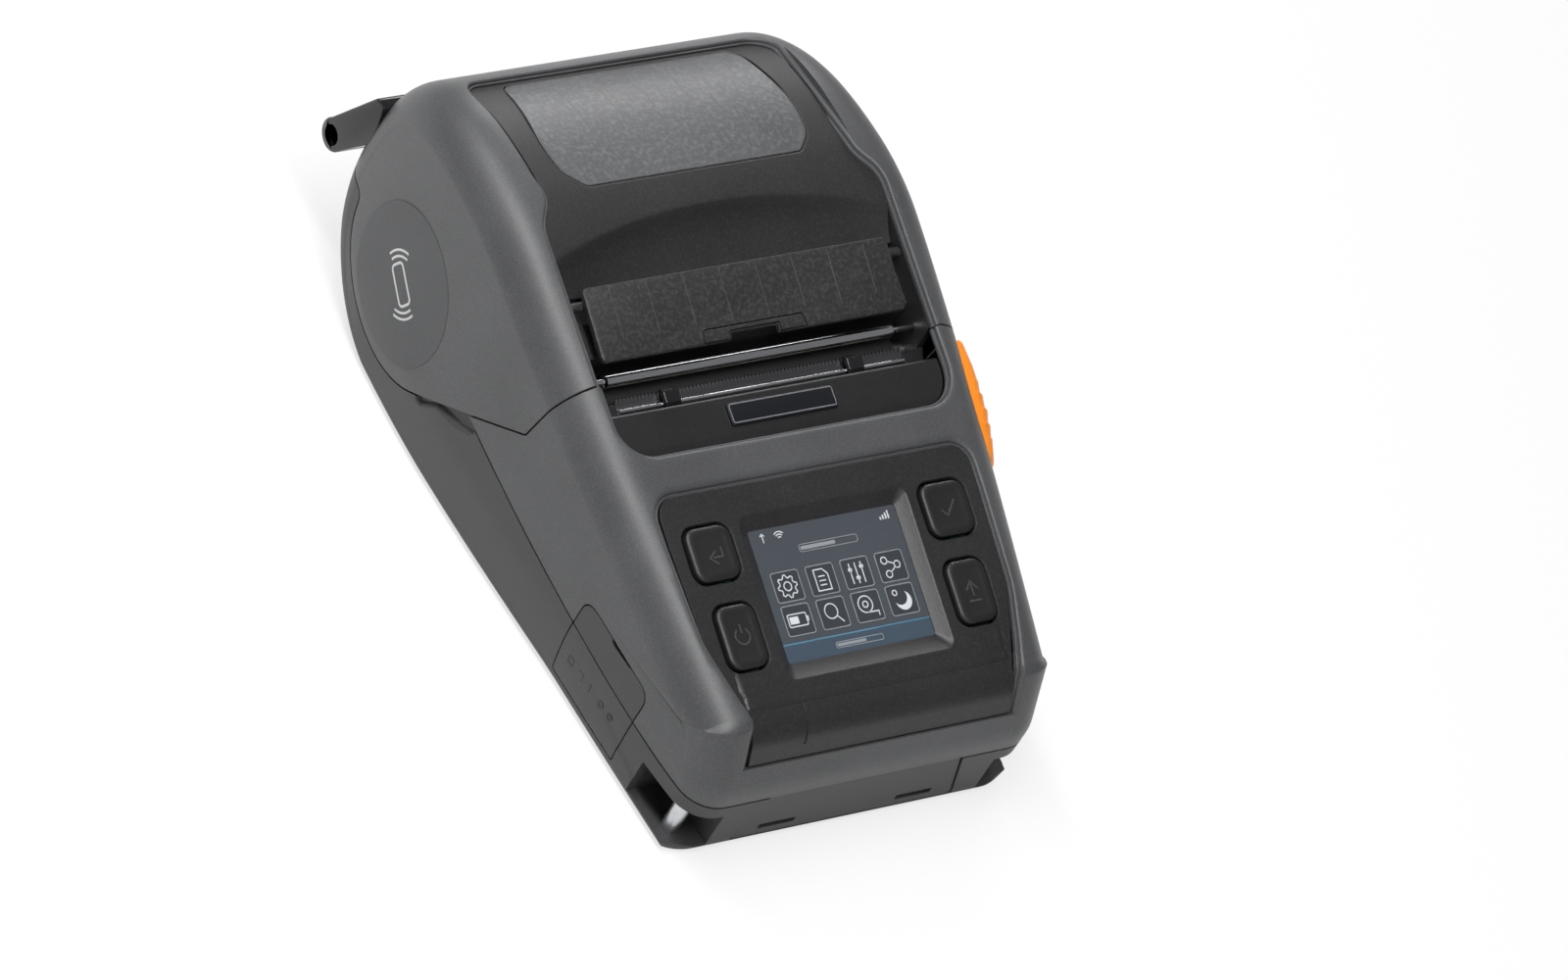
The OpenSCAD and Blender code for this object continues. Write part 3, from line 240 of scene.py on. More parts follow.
def loft(loops):  # closed loops of equal length joined in turn, capped at both ends
    loops = np.asarray(loops, float)
    k, n = loops.shape[:2]
    ends = [list(range(n)), list(range((k - 1) * n, k * n))[::-1]]
    return loops.reshape(-1, 3), [gridFaces(k, n, loopCols=True), ends]


def acrossLoop(loop, x0=-80, x1=80):  # outline (u, z) carried along x, right through the part if not told otherwise
    loop = np.asarray(loop, float)
    return loft([np.column_stack([np.full(len(loop), x), loop]) for x in (x0, x1)])


def acrossRings(loop, rings):  # the same with a growth for each x: [(x, growth), ...]
    return loft([np.column_stack([np.full(len(loop), x), grow(loop, g)]) for x, g in rings])


def slab(loops):  # outlines (x, u) with heights, stacked into one solid: [(outline, height), ...]
    return loft([np.column_stack([loop, np.full(len(loop), h)]) for loop, h in loops])


def plate(loop, low=20, high=110):  # outline (x, u) carried upwards, through the upper part if not told otherwise
    return slab([(loop, low), (loop, high)])


def unit(v):
    return v / np.maximum(np.linalg.norm(v, axis=1), 1e-9)[:, None]


def roundedLoop(points, radius, steps=8):  # each corner becomes an arc tangent to both its sides
    p = np.asarray(points, float)
    r = np.broadcast_to(np.asarray(radius, float), len(p)).copy()
    a, b = np.roll(p, 1, 0) - p, np.roll(p, -1, 0) - p
    la, lb = np.linalg.norm(a, axis=1), np.linalg.norm(b, axis=1)
    a, b = a / la[:, None], b / lb[:, None]
    half = np.arccos(np.clip((a * b).sum(1), -0.99999, 0.99999)) / 2
    t = np.clip(r / np.tan(half), 1e-4, 0.49 * np.minimum(la, lb))
    r = t * np.tan(half)
    hub = p + (a + b) / np.linalg.norm(a + b, axis=1)[:, None] * (r / np.sin(half))[:, None]
    v0, v1 = p + a * t[:, None] - hub, p + b * t[:, None] - hub
    w = np.maximum(math.pi - 2 * half, 1e-6)[:, None]
    k = np.linspace(0, 1, steps + 1)[None, :]
    f0, f1 = np.sin((1 - k) * w) / np.sin(w), np.sin(k * w) / np.sin(w)
    return (hub[:, None] + f0[..., None] * v0[:, None] + f1[..., None] * v1[:, None]).reshape(-1, 2)


def grow(loop, by):  # each point moves by the given length along the outline's outward normal
    p = np.asarray(loop, float)
    ahead, back = np.roll(p, -1, 0) - p, p - np.roll(p, 1, 0)
    along = unit(unit(ahead) + unit(back))
    area = (p[:, 0] * np.roll(p[:, 1], -1) - np.roll(p[:, 0], -1) * p[:, 1]).sum()
    side = 1 if area > 0 else -1
    return p + by * side * np.column_stack([along[:, 1], -along[:, 0]])


def mirrored(points):  # half an outline in (x, u), from front to back, closed by its mirror image
    p = np.asarray(points, float)
    return np.concatenate([p, p[::-1] * [-1, 1]])


def topZ(x, u, depth=0.0):  # height of the outer form above (x, u) on the deck and crown
    u = np.asarray(u, float)
    keep = (outline[:, 2] < 150) & (outline[:, 2] > 20)
    z = np.interp(u, outline[keep, 0], outline[keep, 1])
    slope = np.radians(np.interp(u, outline[keep, 0], outline[keep, 2]) - 90)
    z = np.where(u < noseU + 5, deckZ(u), z)
    r, end = form["edgeR"], math.radians(form["edgeDeg"])
    start = halfWidth(u, z) - r * math.sin(end)
    over = np.clip((np.abs(x) - start) / r, 0, 0.93)
    return z - (r * (1 - np.sqrt(1 - over ** 2)) + depth) / np.cos(slope)


def roundLip(radius, steps=5):  # quarter circle as (growth, depth) pairs from the wall to the surface
    f = np.linspace(0, math.pi / 2, steps + 1)
    return [(radius * (1 - math.cos(t)), radius * (1 - math.sin(t))) for t in f]


def steppedLip(inner, ledge, radius, steps=6):  # small rounded step, shallow groove, then a rolled edge
    f = np.linspace(0.15, 1, steps) * math.pi / 2
    low = [(0, inner + ledge), (0.12, inner + ledge - 0.3), (0.42, inner + ledge - 0.42), (0.62, inner + ledge - 0.3),
           (0.74, inner + ledge - 0.34)]
    return low + [(0.74 + radius * (1 - math.cos(t)), inner * (1 - math.sin(t))) for t in f]


def flared(loop, bottom, lip, depth=0.0):
    # Upright cutter with the outline (x, u); it opens out along the lip profile up to the given depth under the form
    loops = [np.column_stack([loop, np.full(len(loop), bottom)])]
    for growth, under in lip:
        ring = grow(loop, growth)
        loops.append(np.column_stack([ring, topZ(ring[:, 0], ring[:, 1], depth + under)]))
    ring = grow(loop, lip[-1][0] + 0.05)
    loops.append(np.column_stack([ring, topZ(ring[:, 0], ring[:, 1], depth) + 0.3]))
    loops.append(np.column_stack([ring, np.full(len(ring), 110.0)]))
    return loft(loops)


def cutter(made):  # an object as it is, or (points, faces) as a tool
    return tool("cutter", *made) if isinstance(made, tuple) else made


def carve(target, keep=(), add=(), less=()):
    # Booleans in turn: what lies inside keep, then add joined on, then less cut away
    steps = [("INTERSECT", q) for q in keep] + [("UNION", q) for q in add] + [("DIFFERENCE", q) for q in less]
    for how, made in steps:
        m = target.modifiers.new(how, "BOOLEAN")
        m.operation, m.solver, m.object = how, "MANIFOLD", cutter(made)
    shown = target.evaluated_get(bpy.context.evaluated_depsgraph_get())
    mesh = bpy.data.meshes.new_from_object(shown)
    target.modifiers.clear()
    target.data = mesh
    return target


def copyOf(source, name):
    return addObject(name, source.data.copy())


def finishPiece(piece, body, material, nodes, sharp=32.0):
    piece.data.materials.clear()
    piece.data.materials.append(finish[material])
    piece.data.shade_smooth()
    piece.data.set_sharp_from_angle(angle=math.radians(sharp))
    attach(piece, body)
    if nodes:
        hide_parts(*nodes)


# Materials: every finish is a small node tree on Object coordinates


def setInputs(tree, node, values):  # a socket is linked to the input, anything else becomes its value
    for name, value in values.items():
        if isinstance(value, bpy.types.NodeSocket):
            tree.links.new(value, node.inputs[name])
        else:
            node.inputs[name].default_value = value


def addNode(tree, kind, output, values):
    made = tree.nodes.new("ShaderNode" + kind)
    setInputs(tree, made, values)
    return made.outputs[output]


def startMaterial(name):
    mat = bpy.data.materials.new(name)
    mat.use_nodes = True
    tree = mat.node_tree
    return mat, tree, tree.nodes["Principled BSDF"], addNode(tree, "TexCoord", "Object", {})


def addNoise(tree, where, scale, detail, rough=0.55):
    return addNode(tree, "TexNoise", "Fac", {"Vector": where, "Scale": scale, "Detail": detail, "Roughness": rough})


def addRamp(tree, source, stops):
    made = tree.nodes.new("ShaderNodeValToRGB")
    ramp = made.color_ramp
    while len(ramp.elements) < len(stops):
        ramp.elements.new(0.5)
    for element, (place, colour) in zip(ramp.elements, stops):
        element.position, element.color = place, (*colour, 1)
    tree.links.new(source, made.inputs["Fac"])
    return made.outputs["Color"]


def mouldedPlastic(name, colour, rough, grain=2600, bump=0.25, spread=0.12, speckle=0.0):
    # Spark-eroded grain as bump and speckle, slow colour and gloss drift, rounded edges
    v = dict(edge=0.00025, relief=0.00006, drift=38)
    mat, tree, shader, where = startMaterial(name)
    fine = addNoise(tree, where, grain, 2.0, 0.6)
    slow = addNoise(tree, where, v["drift"], 4.0)
    low, high = [[c * (1 + sign * spread) for c in colour] for sign in (-1, 1)]
    base = addRamp(tree, slow, [(0.3, low), (0.7, high)])
    if speckle:
        dots = addRamp(tree, fine, [(0.45, (0, 0, 0)), (0.75, (speckle,) * 3)])
        mix = tree.nodes.new("ShaderNodeMix")
        mix.data_type, mix.blend_type = "RGBA", "ADD"
        setInputs(tree, mix, {"Factor": 1.0, "A": base, "B": dots})
        base = mix.outputs["Result"]
    gloss = addNode(tree, "MapRange", "Result", {"Value": slow, "To Min": rough - 0.05, "To Max": rough + 0.06})
    bevel = tree.nodes.new("ShaderNodeBevel")
    bevel.samples = 4
    setInputs(tree, bevel, {"Radius": v["edge"]})
    relief = addNode(tree, "Bump", "Normal", {"Strength": bump, "Distance": v["relief"], "Height": fine,
                                              "Normal": bevel.outputs["Normal"]})
    setInputs(tree, shader, {"Base Color": base, "Roughness": gloss, "Normal": relief})
    return mat


def brightMetal(name, colour, rough, grain=900, stretch=(1, 1, 1), bump=0.08):
    # Metal with a fine lie of scratches along one direction
    v = dict(dark=0.86, relief=0.00003)
    mat, tree, shader, where = startMaterial(name)
    turned = addNode(tree, "Mapping", "Vector", {"Vector": where, "Scale": stretch})
    lines = addNoise(tree, turned, grain, 2.0)
    tone = addRamp(tree, lines, [(0.3, [c * v["dark"] for c in colour]), (0.7, colour)])
    gloss = addNode(tree, "MapRange", "Result", {"Value": lines, "To Min": rough * 0.8, "To Max": rough * 1.3})
    relief = addNode(tree, "Bump", "Normal", {"Strength": bump, "Distance": v["relief"], "Height": lines})
    setInputs(tree, shader, {"Base Color": tone, "Metallic": 1.0, "Roughness": gloss, "Normal": relief})
    return mat


flat = dict(grain=1200, bump=0.0, spread=0.04)
plastics = dict(  # linear colours
    darkShell=dict(colour=(0.040, 0.040, 0.042), rough=0.5, speckle=0.012),
    greyShell=dict(colour=(0.062, 0.063, 0.066), rough=0.42, speckle=0.03),
    blackPlastic=dict(colour=(0.016, 0.016, 0.017), rough=0.48, grain=1500, bump=0.4, speckle=0.012),
    coarseBlack=dict(colour=(0.018, 0.018, 0.019), rough=0.5, grain=1100, bump=0.7, speckle=0.03),
    keyRubber=dict(colour=(0.012, 0.012, 0.013), rough=0.42, grain=2200, bump=0.12),
    orangePlastic=dict(colour=(0.90, 0.26, 0.015), rough=0.36, grain=2200, bump=0.08, spread=0.05),
    gearPlastic=dict(colour=(0.62, 0.60, 0.54), rough=0.4, grain=1500, bump=0.1),
    boardGreen=dict(colour=(0.02, 0.10, 0.045), rough=0.4, grain=800, bump=0.1),
    headCeramic=dict(colour=(0.55, 0.52, 0.43), rough=0.35, grain=900, bump=0.08),
    platenRubber=dict(colour=(0.012, 0.012, 0.012), rough=0.6, grain=1800, bump=0.25),
    smoke=dict(colour=(0.075, 0.077, 0.08), rough=0.4, grain=900, bump=0.9, speckle=0.06),
    glass=dict(colour=(0.05, 0.06, 0.07), rough=0.12, grain=200, bump=0.0),
    panelBlack=dict(colour=(0.017, 0.017, 0.018), rough=0.4, grain=1500, bump=0.35, speckle=0.012),
    satinBlack=dict(colour=(0.014, 0.014, 0.015), rough=0.34, grain=1800, bump=0.12, speckle=0.006),
    glossBlack=dict(colour=(0.010, 0.010, 0.011), rough=0.18, grain=1800, bump=0.04),
    badgeBlack=dict(colour=(0.008, 0.009, 0.012), rough=0.25, grain=1200, bump=0.05),
    keyMark=dict(colour=(0.045, 0.045, 0.047), rough=0.4, grain=1800, bump=0.05),
    screenDark=dict(colour=(0.062, 0.070, 0.082), rough=0.22, **flat),
    tileDark=dict(colour=(0.040, 0.044, 0.052), rough=0.3, **flat),
    bandBlue=dict(colour=(0.052, 0.075, 0.105), rough=0.3, **flat),
    lineBlue=dict(colour=(0.06, 0.22, 0.34), rough=0.3, **flat),
    discGrey=dict(colour=(0.060, 0.061, 0.064), rough=0.5, speckle=0.02),
    signPale=dict(colour=(0.62, 0.65, 0.68), rough=0.4, **flat),
    signDim=dict(colour=(0.26, 0.28, 0.30), rough=0.4, **flat),
    signWhite=dict(colour=(0.60, 0.60, 0.60), rough=0.45, grain=1600, bump=0.05, spread=0.04),
    markGrey=dict(colour=(0.16, 0.16, 0.17), rough=0.3, grain=1600, bump=0.05),
    markDim=dict(colour=(0.075, 0.075, 0.078), rough=0.5, grain=900, bump=0.3, spread=0.3),
    markDark=dict(colour=(0.016, 0.016, 0.017), rough=0.45, grain=1600, bump=0.05),
    # the next entry is a lighter grey for the ring round the window edge: a painted highlight
    paintedRimHighlight=dict(colour=(0.10, 0.10, 0.105), rough=0.25, grain=1600, bump=0.05),
)
metals = dict(  # linear colours
    steel=dict(colour=(0.62, 0.63, 0.65), rough=0.28, stretch=(0.2, 1, 1)),
    brightSteel=dict(colour=(0.82, 0.83, 0.85), rough=0.12, stretch=(0.05, 1, 1)),
    alloy=dict(colour=(0.42, 0.43, 0.45), rough=0.45),
    brass=dict(colour=(0.78, 0.58, 0.26), rough=0.3),
    # the next entry is a dark steel for the tear bar plate: a painted dark reflection
    paintedReflectionSteel=dict(colour=(0.20, 0.20, 0.21), rough=0.32, stretch=(0.05, 1, 1)),
)
finish = {name: mouldedPlastic(name, **v) for name, v in plastics.items()}
finish |= {name: brightMetal(name, **v) for name, v in metals.items()}

nodeFinish = dict(
    alloy="lcd_module print_chassis heat_sink stepper_motor",
    glass="lcd_glass",
    boardGreen="key_board main_board",
    steel=("key_switches usb_socket port_cover_pin strap_pin_left strap_pin_right head_spring "
           "gear_plate hinge_pin cover_latch platen_shaft"),
    blackPlastic=("power_jack bar_clip_left bar_clip_right media_tub label_sensor hinge_bracket "
                  "battery_latch holder_left holder_right cover_frame hinge_arms badge_plate "
                  "outlet_frame display_panel centre_panel"),
    brightSteel="tear_bar peel_rod",
    headCeramic="print_head",
    brass="battery_contacts motor_pinion",
    platenRubber="platen_roller",
    gearPlastic="platen_gear idler_gear",
    darkShell="battery_pack port_cover lower_housing",
    keyRubber="key_back key_confirm key_power key_feed",
    smoke="window",
    coarseBlack="peeler_flap",
    orangePlastic="release_button",
    greyShell="front_housing cover_shell")
for material, names in nodeFinish.items():
    for name in names.split():
        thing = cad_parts[name]
        thing.data.materials.clear()
        thing.data.materials.append(finish[material])
print("materials made:", len(finish))

# Camera and lights

camera = dict(back=2387.65, right=(0.7905, -0.4632, 0.4008), forward=(0.5938, 0.4190, -0.6870),
              aim=(0, 72.82, 56.55), across=-0.4286, below=18.229, lens=250.8)


def makeCamera():
    c = camera
    right, forward = Vector(c["right"]).normalized(), Vector(c["forward"]).normalized()
    up = right.cross(forward).normalized()
    right = forward.cross(up).normalized()
    data = bpy.data.cameras.new("camera")
    made = addObject("camera", data)
    place = Vector(metres(c["aim"])) + 0.001 * (right * c["across"] - up * c["below"] - forward * c["back"])
    made.matrix_world = Matrix((right, up, -forward)).transposed().to_4x4()
    made.location = place
    data.lens, data.sensor_width, data.clip_start, data.clip_end = c["lens"], 36, 0.05, 50
    bpy.context.scene.camera = made


makeCamera()


def makeStage():
    # Pale floor, part of it glowing to the camera alone so that the background stays near white
    v = dict(reach=6.0, glow=0.72, tone=(0.86, 0.86, 0.86, 1), rough=0.9, sky=(0.9, 0.9, 0.92, 1), skyPower=0.2)
    floor = bpy.data.meshes.new("floor")
    s = v["reach"]
    floor.from_pydata([(-s, -s, 0), (s, -s, 0), (s, s, 0), (-s, s, 0)], [], [(0, 1, 2, 3)])
    made = addObject("floor", floor)
    mat = bpy.data.materials.new("floor")
    mat.use_nodes = True
    tree = mat.node_tree
    shader = tree.nodes["Principled BSDF"]
    kinds = ("Emission", "LightPath", "Math", "MixShader")
    glow, path, share, mix = [tree.nodes.new("ShaderNode" + kind) for kind in kinds]
    share.operation = "MULTIPLY"
    setInputs(tree, share, {0: path.outputs["Is Camera Ray"], 1: v["glow"]})
    setInputs(tree, mix, {"Fac": share.outputs[0], 1: shader.outputs[0], 2: glow.outputs[0]})
    setInputs(tree, tree.nodes["Material Output"], {"Surface": mix.outputs[0]})
    setInputs(tree, shader, {"Base Color": v["tone"], "Roughness": v["rough"]})
    floor.materials.append(mat)
    world = bpy.data.worlds.new("studio")
    bpy.context.scene.world = world
    world.use_nodes = True
    tree = world.node_tree
    setInputs(tree, tree.nodes["Background"], {"Color": v["sky"], "Strength": v["skyPower"]})


def areaLight(name, place, target, size, power):
    data = bpy.data.lights.new(name, "AREA")
    data.shape, data.size, data.size_y, data.energy = "RECTANGLE", size[0], size[1], power
    made = addObject(name, data)
    made.location = place
    made.rotation_euler = (Vector(target) - Vector(place)).to_track_quat("-Z", "Y").to_euler()


makeStage()
areaLight("keyLight", (-0.3, 0.7, 0.75), (0, 0, 0.04), (0.5, 0.4), 1.6)
areaLight("stripLight", (-0.3, 0.0, 0.94), (0, 0.0, 0.05), (1.2, 0.1), 11)
areaLight("fillLight", (-0.2, -0.9, 0.5), (0, 0, 0.03), (0.6, 0.4), 1.2)
areaLight("backLight", (0.5, 0.8, 0.5), (0, 0, 0.05), (0.5, 0.25), 3)
bpy.context.scene.view_settings.view_transform = "Standard"

# Housings: the outer form is hollowed and split along the seams

seams = dict(frontZ=16.6, rise=12.9, run=101.7, power=1.6, rearZ=rollZ - 6.3, cheek=(rollU - 1.5, rollZ - 0.5),
             cheekR=26.8, vee=(86.9, 42.23), neck=(85.2, 52.43), lip=(84.2, 60.43), gap=0.45, fineGap=0.5)


def seamZ(u):  # rises as a power of the distance from the front
    return seams["frontZ"] + seams["rise"] * (np.maximum(u, 0) / seams["run"]) ** seams["power"]


def coverLoop():
    # Rear seam line, cheek circle down to the tangent point, straight to the vee, neck and lip, then round outside
    (cu, cz), r, (vu, vz) = seams["cheek"], seams["cheekR"], seams["vee"]
    dist = math.hypot(vu - cu, vz - cz)
    toHub = math.atan2(cz - vz, cu - vu)
    lowest = toHub - math.asin(r / dist) - math.pi / 2
    startA = math.asin((seams["rearZ"] - cz) / r)
    a = np.linspace(startA, lowest, 60)
    arc = np.stack([cu + r * np.cos(a), cz + r * np.sin(a)], -1)
    corner = roundedLoop([(230, seams["rearZ"]), tuple(arc[0]), tuple(arc[6])], [0, 2.5, 0], 8)[9:18]
    vee = roundedLoop([tuple(arc[-1]), (vu, vz), seams["neck"], seams["lip"], (84.2, 160), (260, 160)],
                      [0, 0.8, 6, 6, 0, 0], 6)
    return np.concatenate([[(260, seams["rearZ"])], corner, arc[6:-1], vee[7:28], [(84.2, 160), (260, 160)]])


coverOutline = coverLoop()
outerBody = bodySolid(0.0)
innerBody = bodySolid(form["wall"])
shell = copyOf(outerBody, "shell")
scratch.append(shell)
carve(shell, less=[innerBody])
print("body shell:", len(shell.data.polygons), "faces")


def makeCoverShell():
    v = dict(recess=46.0, panel=41.4, waveU=123.0, endU=163.5, wave=3.2, lip=0.9)
    half = [(v["recess"], 60), (v["recess"], v["waveU"] - v["wave"]),
            (v["panel"], v["waveU"] + v["wave"]), (v["panel"], v["endU"])]
    radii = [0.1, 9, 9, 5]
    loop = roundedLoop(mirrored(half), radii + radii[::-1], 8)
    piece = copyOf(shell, "coverShell")
    carve(piece, [acrossLoop(coverOutline)], less=[flared(loop, rollZ, steppedLip(v["lip"], 0.5, 0.9))])
    finishPiece(piece, "cover", "greyShell", ["cover_shell"])
    return loop


recessLoop = makeCoverShell()
print("cover shell done")

panelForm = dict(side=[(36, -20), (36.4, 8), (39, 16), (42, 26), (43, 48), (43, 58)], startU=12.0, foot=26.6, lip=1.3)
outletForm = dict(u0=67.6, width=90.8, corner=8.0, lip=1.6, gap=0.12)


def frontPrism(offset):
    u = np.linspace(-2, seams["run"] + 6, 50)
    low = np.stack([u, seamZ(u) + offset], -1)
    above = [(rollU, seams["vee"][1] + offset), (rollU, 160), (-60, 160)]
    return acrossLoop(np.concatenate([[(-60, seams["frontZ"] + offset)], low, above]))


buttonOutline = roundedLoop([(53.5, 44.7), (60, 42.6), (62, 42.8), (73.3, 48.1), (82.2, 53.2), (83, 56), (76.7, 54.9),
                             (69.6, 53.2), (62.7, 50.6), (56.1, 47.3)], 1.2, 5)


portTop = 28.9


def portLoop(extra=0.0):
    corners = [(25, 3.9), (50.5, 3.9), (50.5, portTop), (45, portTop), (25, 26.9)]
    return grow(roundedLoop(corners, [0.4, 0.4, 4.0, 1, 3.4], 6), extra)


def outletPlan(inset=0.0):  # outline (x, u) of the outlet recess, open towards the cover
    v = outletForm
    half, u0 = v["width"] / 2 - inset, v["u0"] + inset
    return roundedLoop([(-half, u0), (half, u0), (half, 110), (-half, 110)], [v["corner"], v["corner"], 0.1, 0.1], 10)


def strapLoft(side):
    loop = roundedLoop([(37.5, -20), (37.5, 17.5), (70, 17.5), (70, -20)], [0.1, 3, 0.1, 0.1], 6) * [side, 1]
    return plate(loop, 2.5, 13.0)


def noseCut(lip):
    # Cutter for the panel's part on chin and nose: a lipped section carried along the side outline
    u, z, a = outline.T
    foot, side = panelForm["foot"], panelForm["side"]
    rows = outline[(a > 100) & (a < 181) & (z > foot - 4) & (u < panelForm["startU"] + 4)]
    start = np.array([[np.interp(foot, rows[:, 1], rows[:, 0]), foot, rows[0, 2]]])
    rows = np.concatenate([start, rows[rows[:, 1] > foot + 0.1]])
    half = np.interp(rows[:, 0], [q[1] for q in side], [q[0] for q in side])
    section = [(0, 6.0)] + list(lip) + [(lip[-1][0] + 0.05, -0.4)]
    growth, depth = np.array(section).T
    x = half[:, None] + growth[None, :]
    x = np.concatenate([x, -x[:, ::-1]], 1)
    d = np.concatenate([depth, depth[::-1]])[None, :]
    turn = np.radians(rows[:, 2])[:, None]
    u, z = rows[:, :1] - d * np.cos(turn), rows[:, 1:2] - d * np.sin(turn)
    return loft(np.stack([x, u, z], -1))


def sideCuts():  # openings that front and lower housing share: port door and strap recesses
    return [acrossLoop(portLoop(0.35), -80, -44), strapLoft(-1), strapLoft(1)]


def makeFrontShell():
    side, startU = panelForm["side"], panelForm["startU"]
    startX = float(np.interp(startU, [q[1] for q in side], [q[0] for q in side]))
    radii = [0.1, 12, 20, 20, 6]
    upper = roundedLoop(mirrored([(startX, startU)] + side[2:]), radii + radii[::-1], 8)
    lip = steppedLip(0.9, 0.5, panelForm["lip"])
    port, *straps = sideCuts()
    piece = copyOf(shell, "frontShell")
    carve(piece, [frontPrism(seams["fineGap"] / 2)], less=[
        acrossLoop(grow(coverOutline, seams["gap"])), flared(upper, panelForm["foot"], lip), noseCut(lip),
        flared(outletPlan(), 30, steppedLip(1.0, 0.7, outletForm["lip"])), port,
        acrossLoop(grow(buttonOutline, 0.5), 45, 80), *straps])
    finishPiece(piece, "housing", "greyShell", ["front_housing"])


makeFrontShell()
print("front shell done")


def skinBand(depth, loop, x0, x1):  # cutter that follows the outer form to the given depth inside an outline (u, z)
    return carve(bodySolid(-1.0), [acrossLoop(loop, x0, x1)], less=[bodySolid(depth)])


def tilted(points, place, degrees):  # local (x, along, up) points turned about X and moved to place
    p = np.asarray(points, float)
    c, t = math.cos(math.radians(degrees)), math.sin(math.radians(degrees))
    return np.stack([p[..., 0] + place[0], place[1] + c * p[..., 1] - t * p[..., 2],
                     place[2] + t * p[..., 1] + c * p[..., 2]], -1)


def box(x0, x1, u0, u1, z0, z1):
    return plate([(x0, u0), (x1, u0), (x1, u1), (x0, u1)], z0, z1)


def rectangle(w, l, radius, x=0.0, y=0.0, steps=8):
    a, b, c, d = x - w / 2, x + w / 2, y - l / 2, y + l / 2
    return roundedLoop([(a, c), (b, c), (b, d), (a, d)], radius, steps)


def barrel(x0, x1, u, z, profile, n=48):  # turned piece along x: profile [(distance from x0, radius), ...]
    a = np.linspace(0, 2 * math.pi, n, endpoint=False)
    loops = [np.column_stack([np.full(n, x0 + d if d >= 0 else x1 + d), u + r * np.cos(a), z + r * np.sin(a)])
             for d, r in profile]
    return loft(loops)


def rod(x0, x1, u, z, r, n):
    return barrel(x0, x1, u, z, [(0, r), (-1e-4, r)], n)


def solid(name, made):
    return newObject(name, *made)


def placed(place, made):  # a solid moved by one of the place functions
    return place(made[0]), made[1]


# Lower housing: tub with battery bay, strap recesses, cradles and the finger wedge

bay = dict(gap=0.4, z=2.2, u=0.3, length=77.0, width=61.6, height=14.2, taper=4.4, rail=1.6)


def wedgeCut(side):
    # Finger wedge below the cheek, with walls that slope in from the outline
    corners = [(98.4, 27.1), (103, 24.5), (111, 21.8), (116, 16), (118, 18), (101, 33)]
    walls = [(55.6, -0.6), (56.4, 0.1), (57.6, 1.5), (60, 2)]
    return acrossRings(roundedLoop(corners, [1, 2, 4, 1, 0.5, 1], 5), [(side * x, g) for x, g in walls])


def makeLowerShell():
    v = dict(hollowR=33.65, hollowHalf=49, hollowSides=96, cradle=32.2, cradleH=16.5, strapH=15.2)
    half, g = bay["width"] / 2, bay["gap"]
    low, high = 0.5, bay["z"] + bay["height"]
    end = bay["u"] + bay["length"]
    ribs = []
    for side in (-1, 1):
        rail = side * (half + g + bay["rail"] / 2)
        ribs.append(box(rail - bay["rail"] / 2, rail + bay["rail"] / 2, -5, end + 2.4, low, high))
        ribs.append(box(*sorted((side * 35.3, side * 60)), -5, 19.7, low, v["strapH"]))
    ribs.append(box(-half - g, half + g, end + 2, end + 3.6, low, high))
    ribs += [box(x - 1.2, x + 1.2, rollU - v["cradle"], rollU + v["cradle"], low, v["cradleH"]) for x in (-30, 0, 30)]
    piece = copyOf(shell, "lowerShell")
    carve(piece, less=[frontPrism(-seams["fineGap"] / 2), acrossLoop(grow(coverOutline, seams["gap"]))])
    inside = bodySolid(form["wall"] / 2)
    for rib in ribs:
        carve(piece, add=[carve(cutter(rib), [inside])])
    z0, taper = bay["z"] - g, bay["taper"]
    corners = [(-half - g, z0), (half + g, z0), (half - taper + g, high + g), (-half + taper - g, high + g)]
    bayLoop = roundedLoop(corners, 1.0, 4)
    bayCut = loft([np.column_stack([bayLoop[:, 0], np.full(len(bayLoop), u), bayLoop[:, 1]]) for u in (-9, end + 1)])
    tub = rod(-v["hollowHalf"], v["hollowHalf"], rollU, rollZ, v["hollowR"], v["hollowSides"])
    port, *straps = sideCuts()
    carve(piece, less=[tub, bayCut, *straps, port, wedgeCut(-1), wedgeCut(1)])
    finishPiece(piece, "housing", "darkShell", ["lower_housing"])


makeLowerShell()
print("lower shell done")


def makePortCover():
    # Door cut from the outer form, with a crease on the seam line and a finger notch in its top edge
    v = dict(notch=(30.5, 41.5), notchDeep=1.6, crease=0.45)
    piece = copyOf(shell, "portCover")
    u = np.linspace(20, 55, 12)
    line = np.stack([u, seamZ(u)], -1)
    band = np.concatenate([line - [0, v["crease"] / 2], (line + [0, v["crease"] / 2])[::-1]])
    (u0, u1), low = v["notch"], portTop - v["notchDeep"]
    notch = roundedLoop([(u0, 40), (u0 + 1.5, low), (u1 - 1.5, low), (u1, 40)], [0.1, 1.4, 1.4, 0.1], 5)
    carve(piece, [acrossLoop(portLoop(), -80, -40)],
          less=[skinBand(0.3, band, -80, -40), skinBand(0.9, notch, -80, -40)])
    finishPiece(piece, "port_door", "darkShell", ["port_cover"])


makePortCover()
print("port cover done")

# Centre panel: height field with the bowed finger scoop, then the paper window

scoop = dict(u=106.0, z=76.0, r=15.0, bow=146.8, front=106.2, rear=165.5, ease=0.45, drop=1.6, thick=2.0)
windowForm = dict(u0=128.7, u1=162.1, front=59.0, rear=63.4, width=70.0, corner=2.5, sink=0.05, thick=1.6)


def panelTop(x, u):
    # The lower of the panel surface and the scoop, a tube of radius r bent to the bow radius, with an eased rim
    v = scoop
    away = np.hypot(x, u - (v["u"] - v["bow"])) - v["bow"]
    near = np.minimum(away, v["r"] * 0.972)
    hollow = v["z"] - np.sqrt(v["r"] ** 2 - near ** 2) + (away - near) * 4
    flat = topZ(x, u, v["drop"])
    return flat - softMax(flat - hollow, v["ease"])


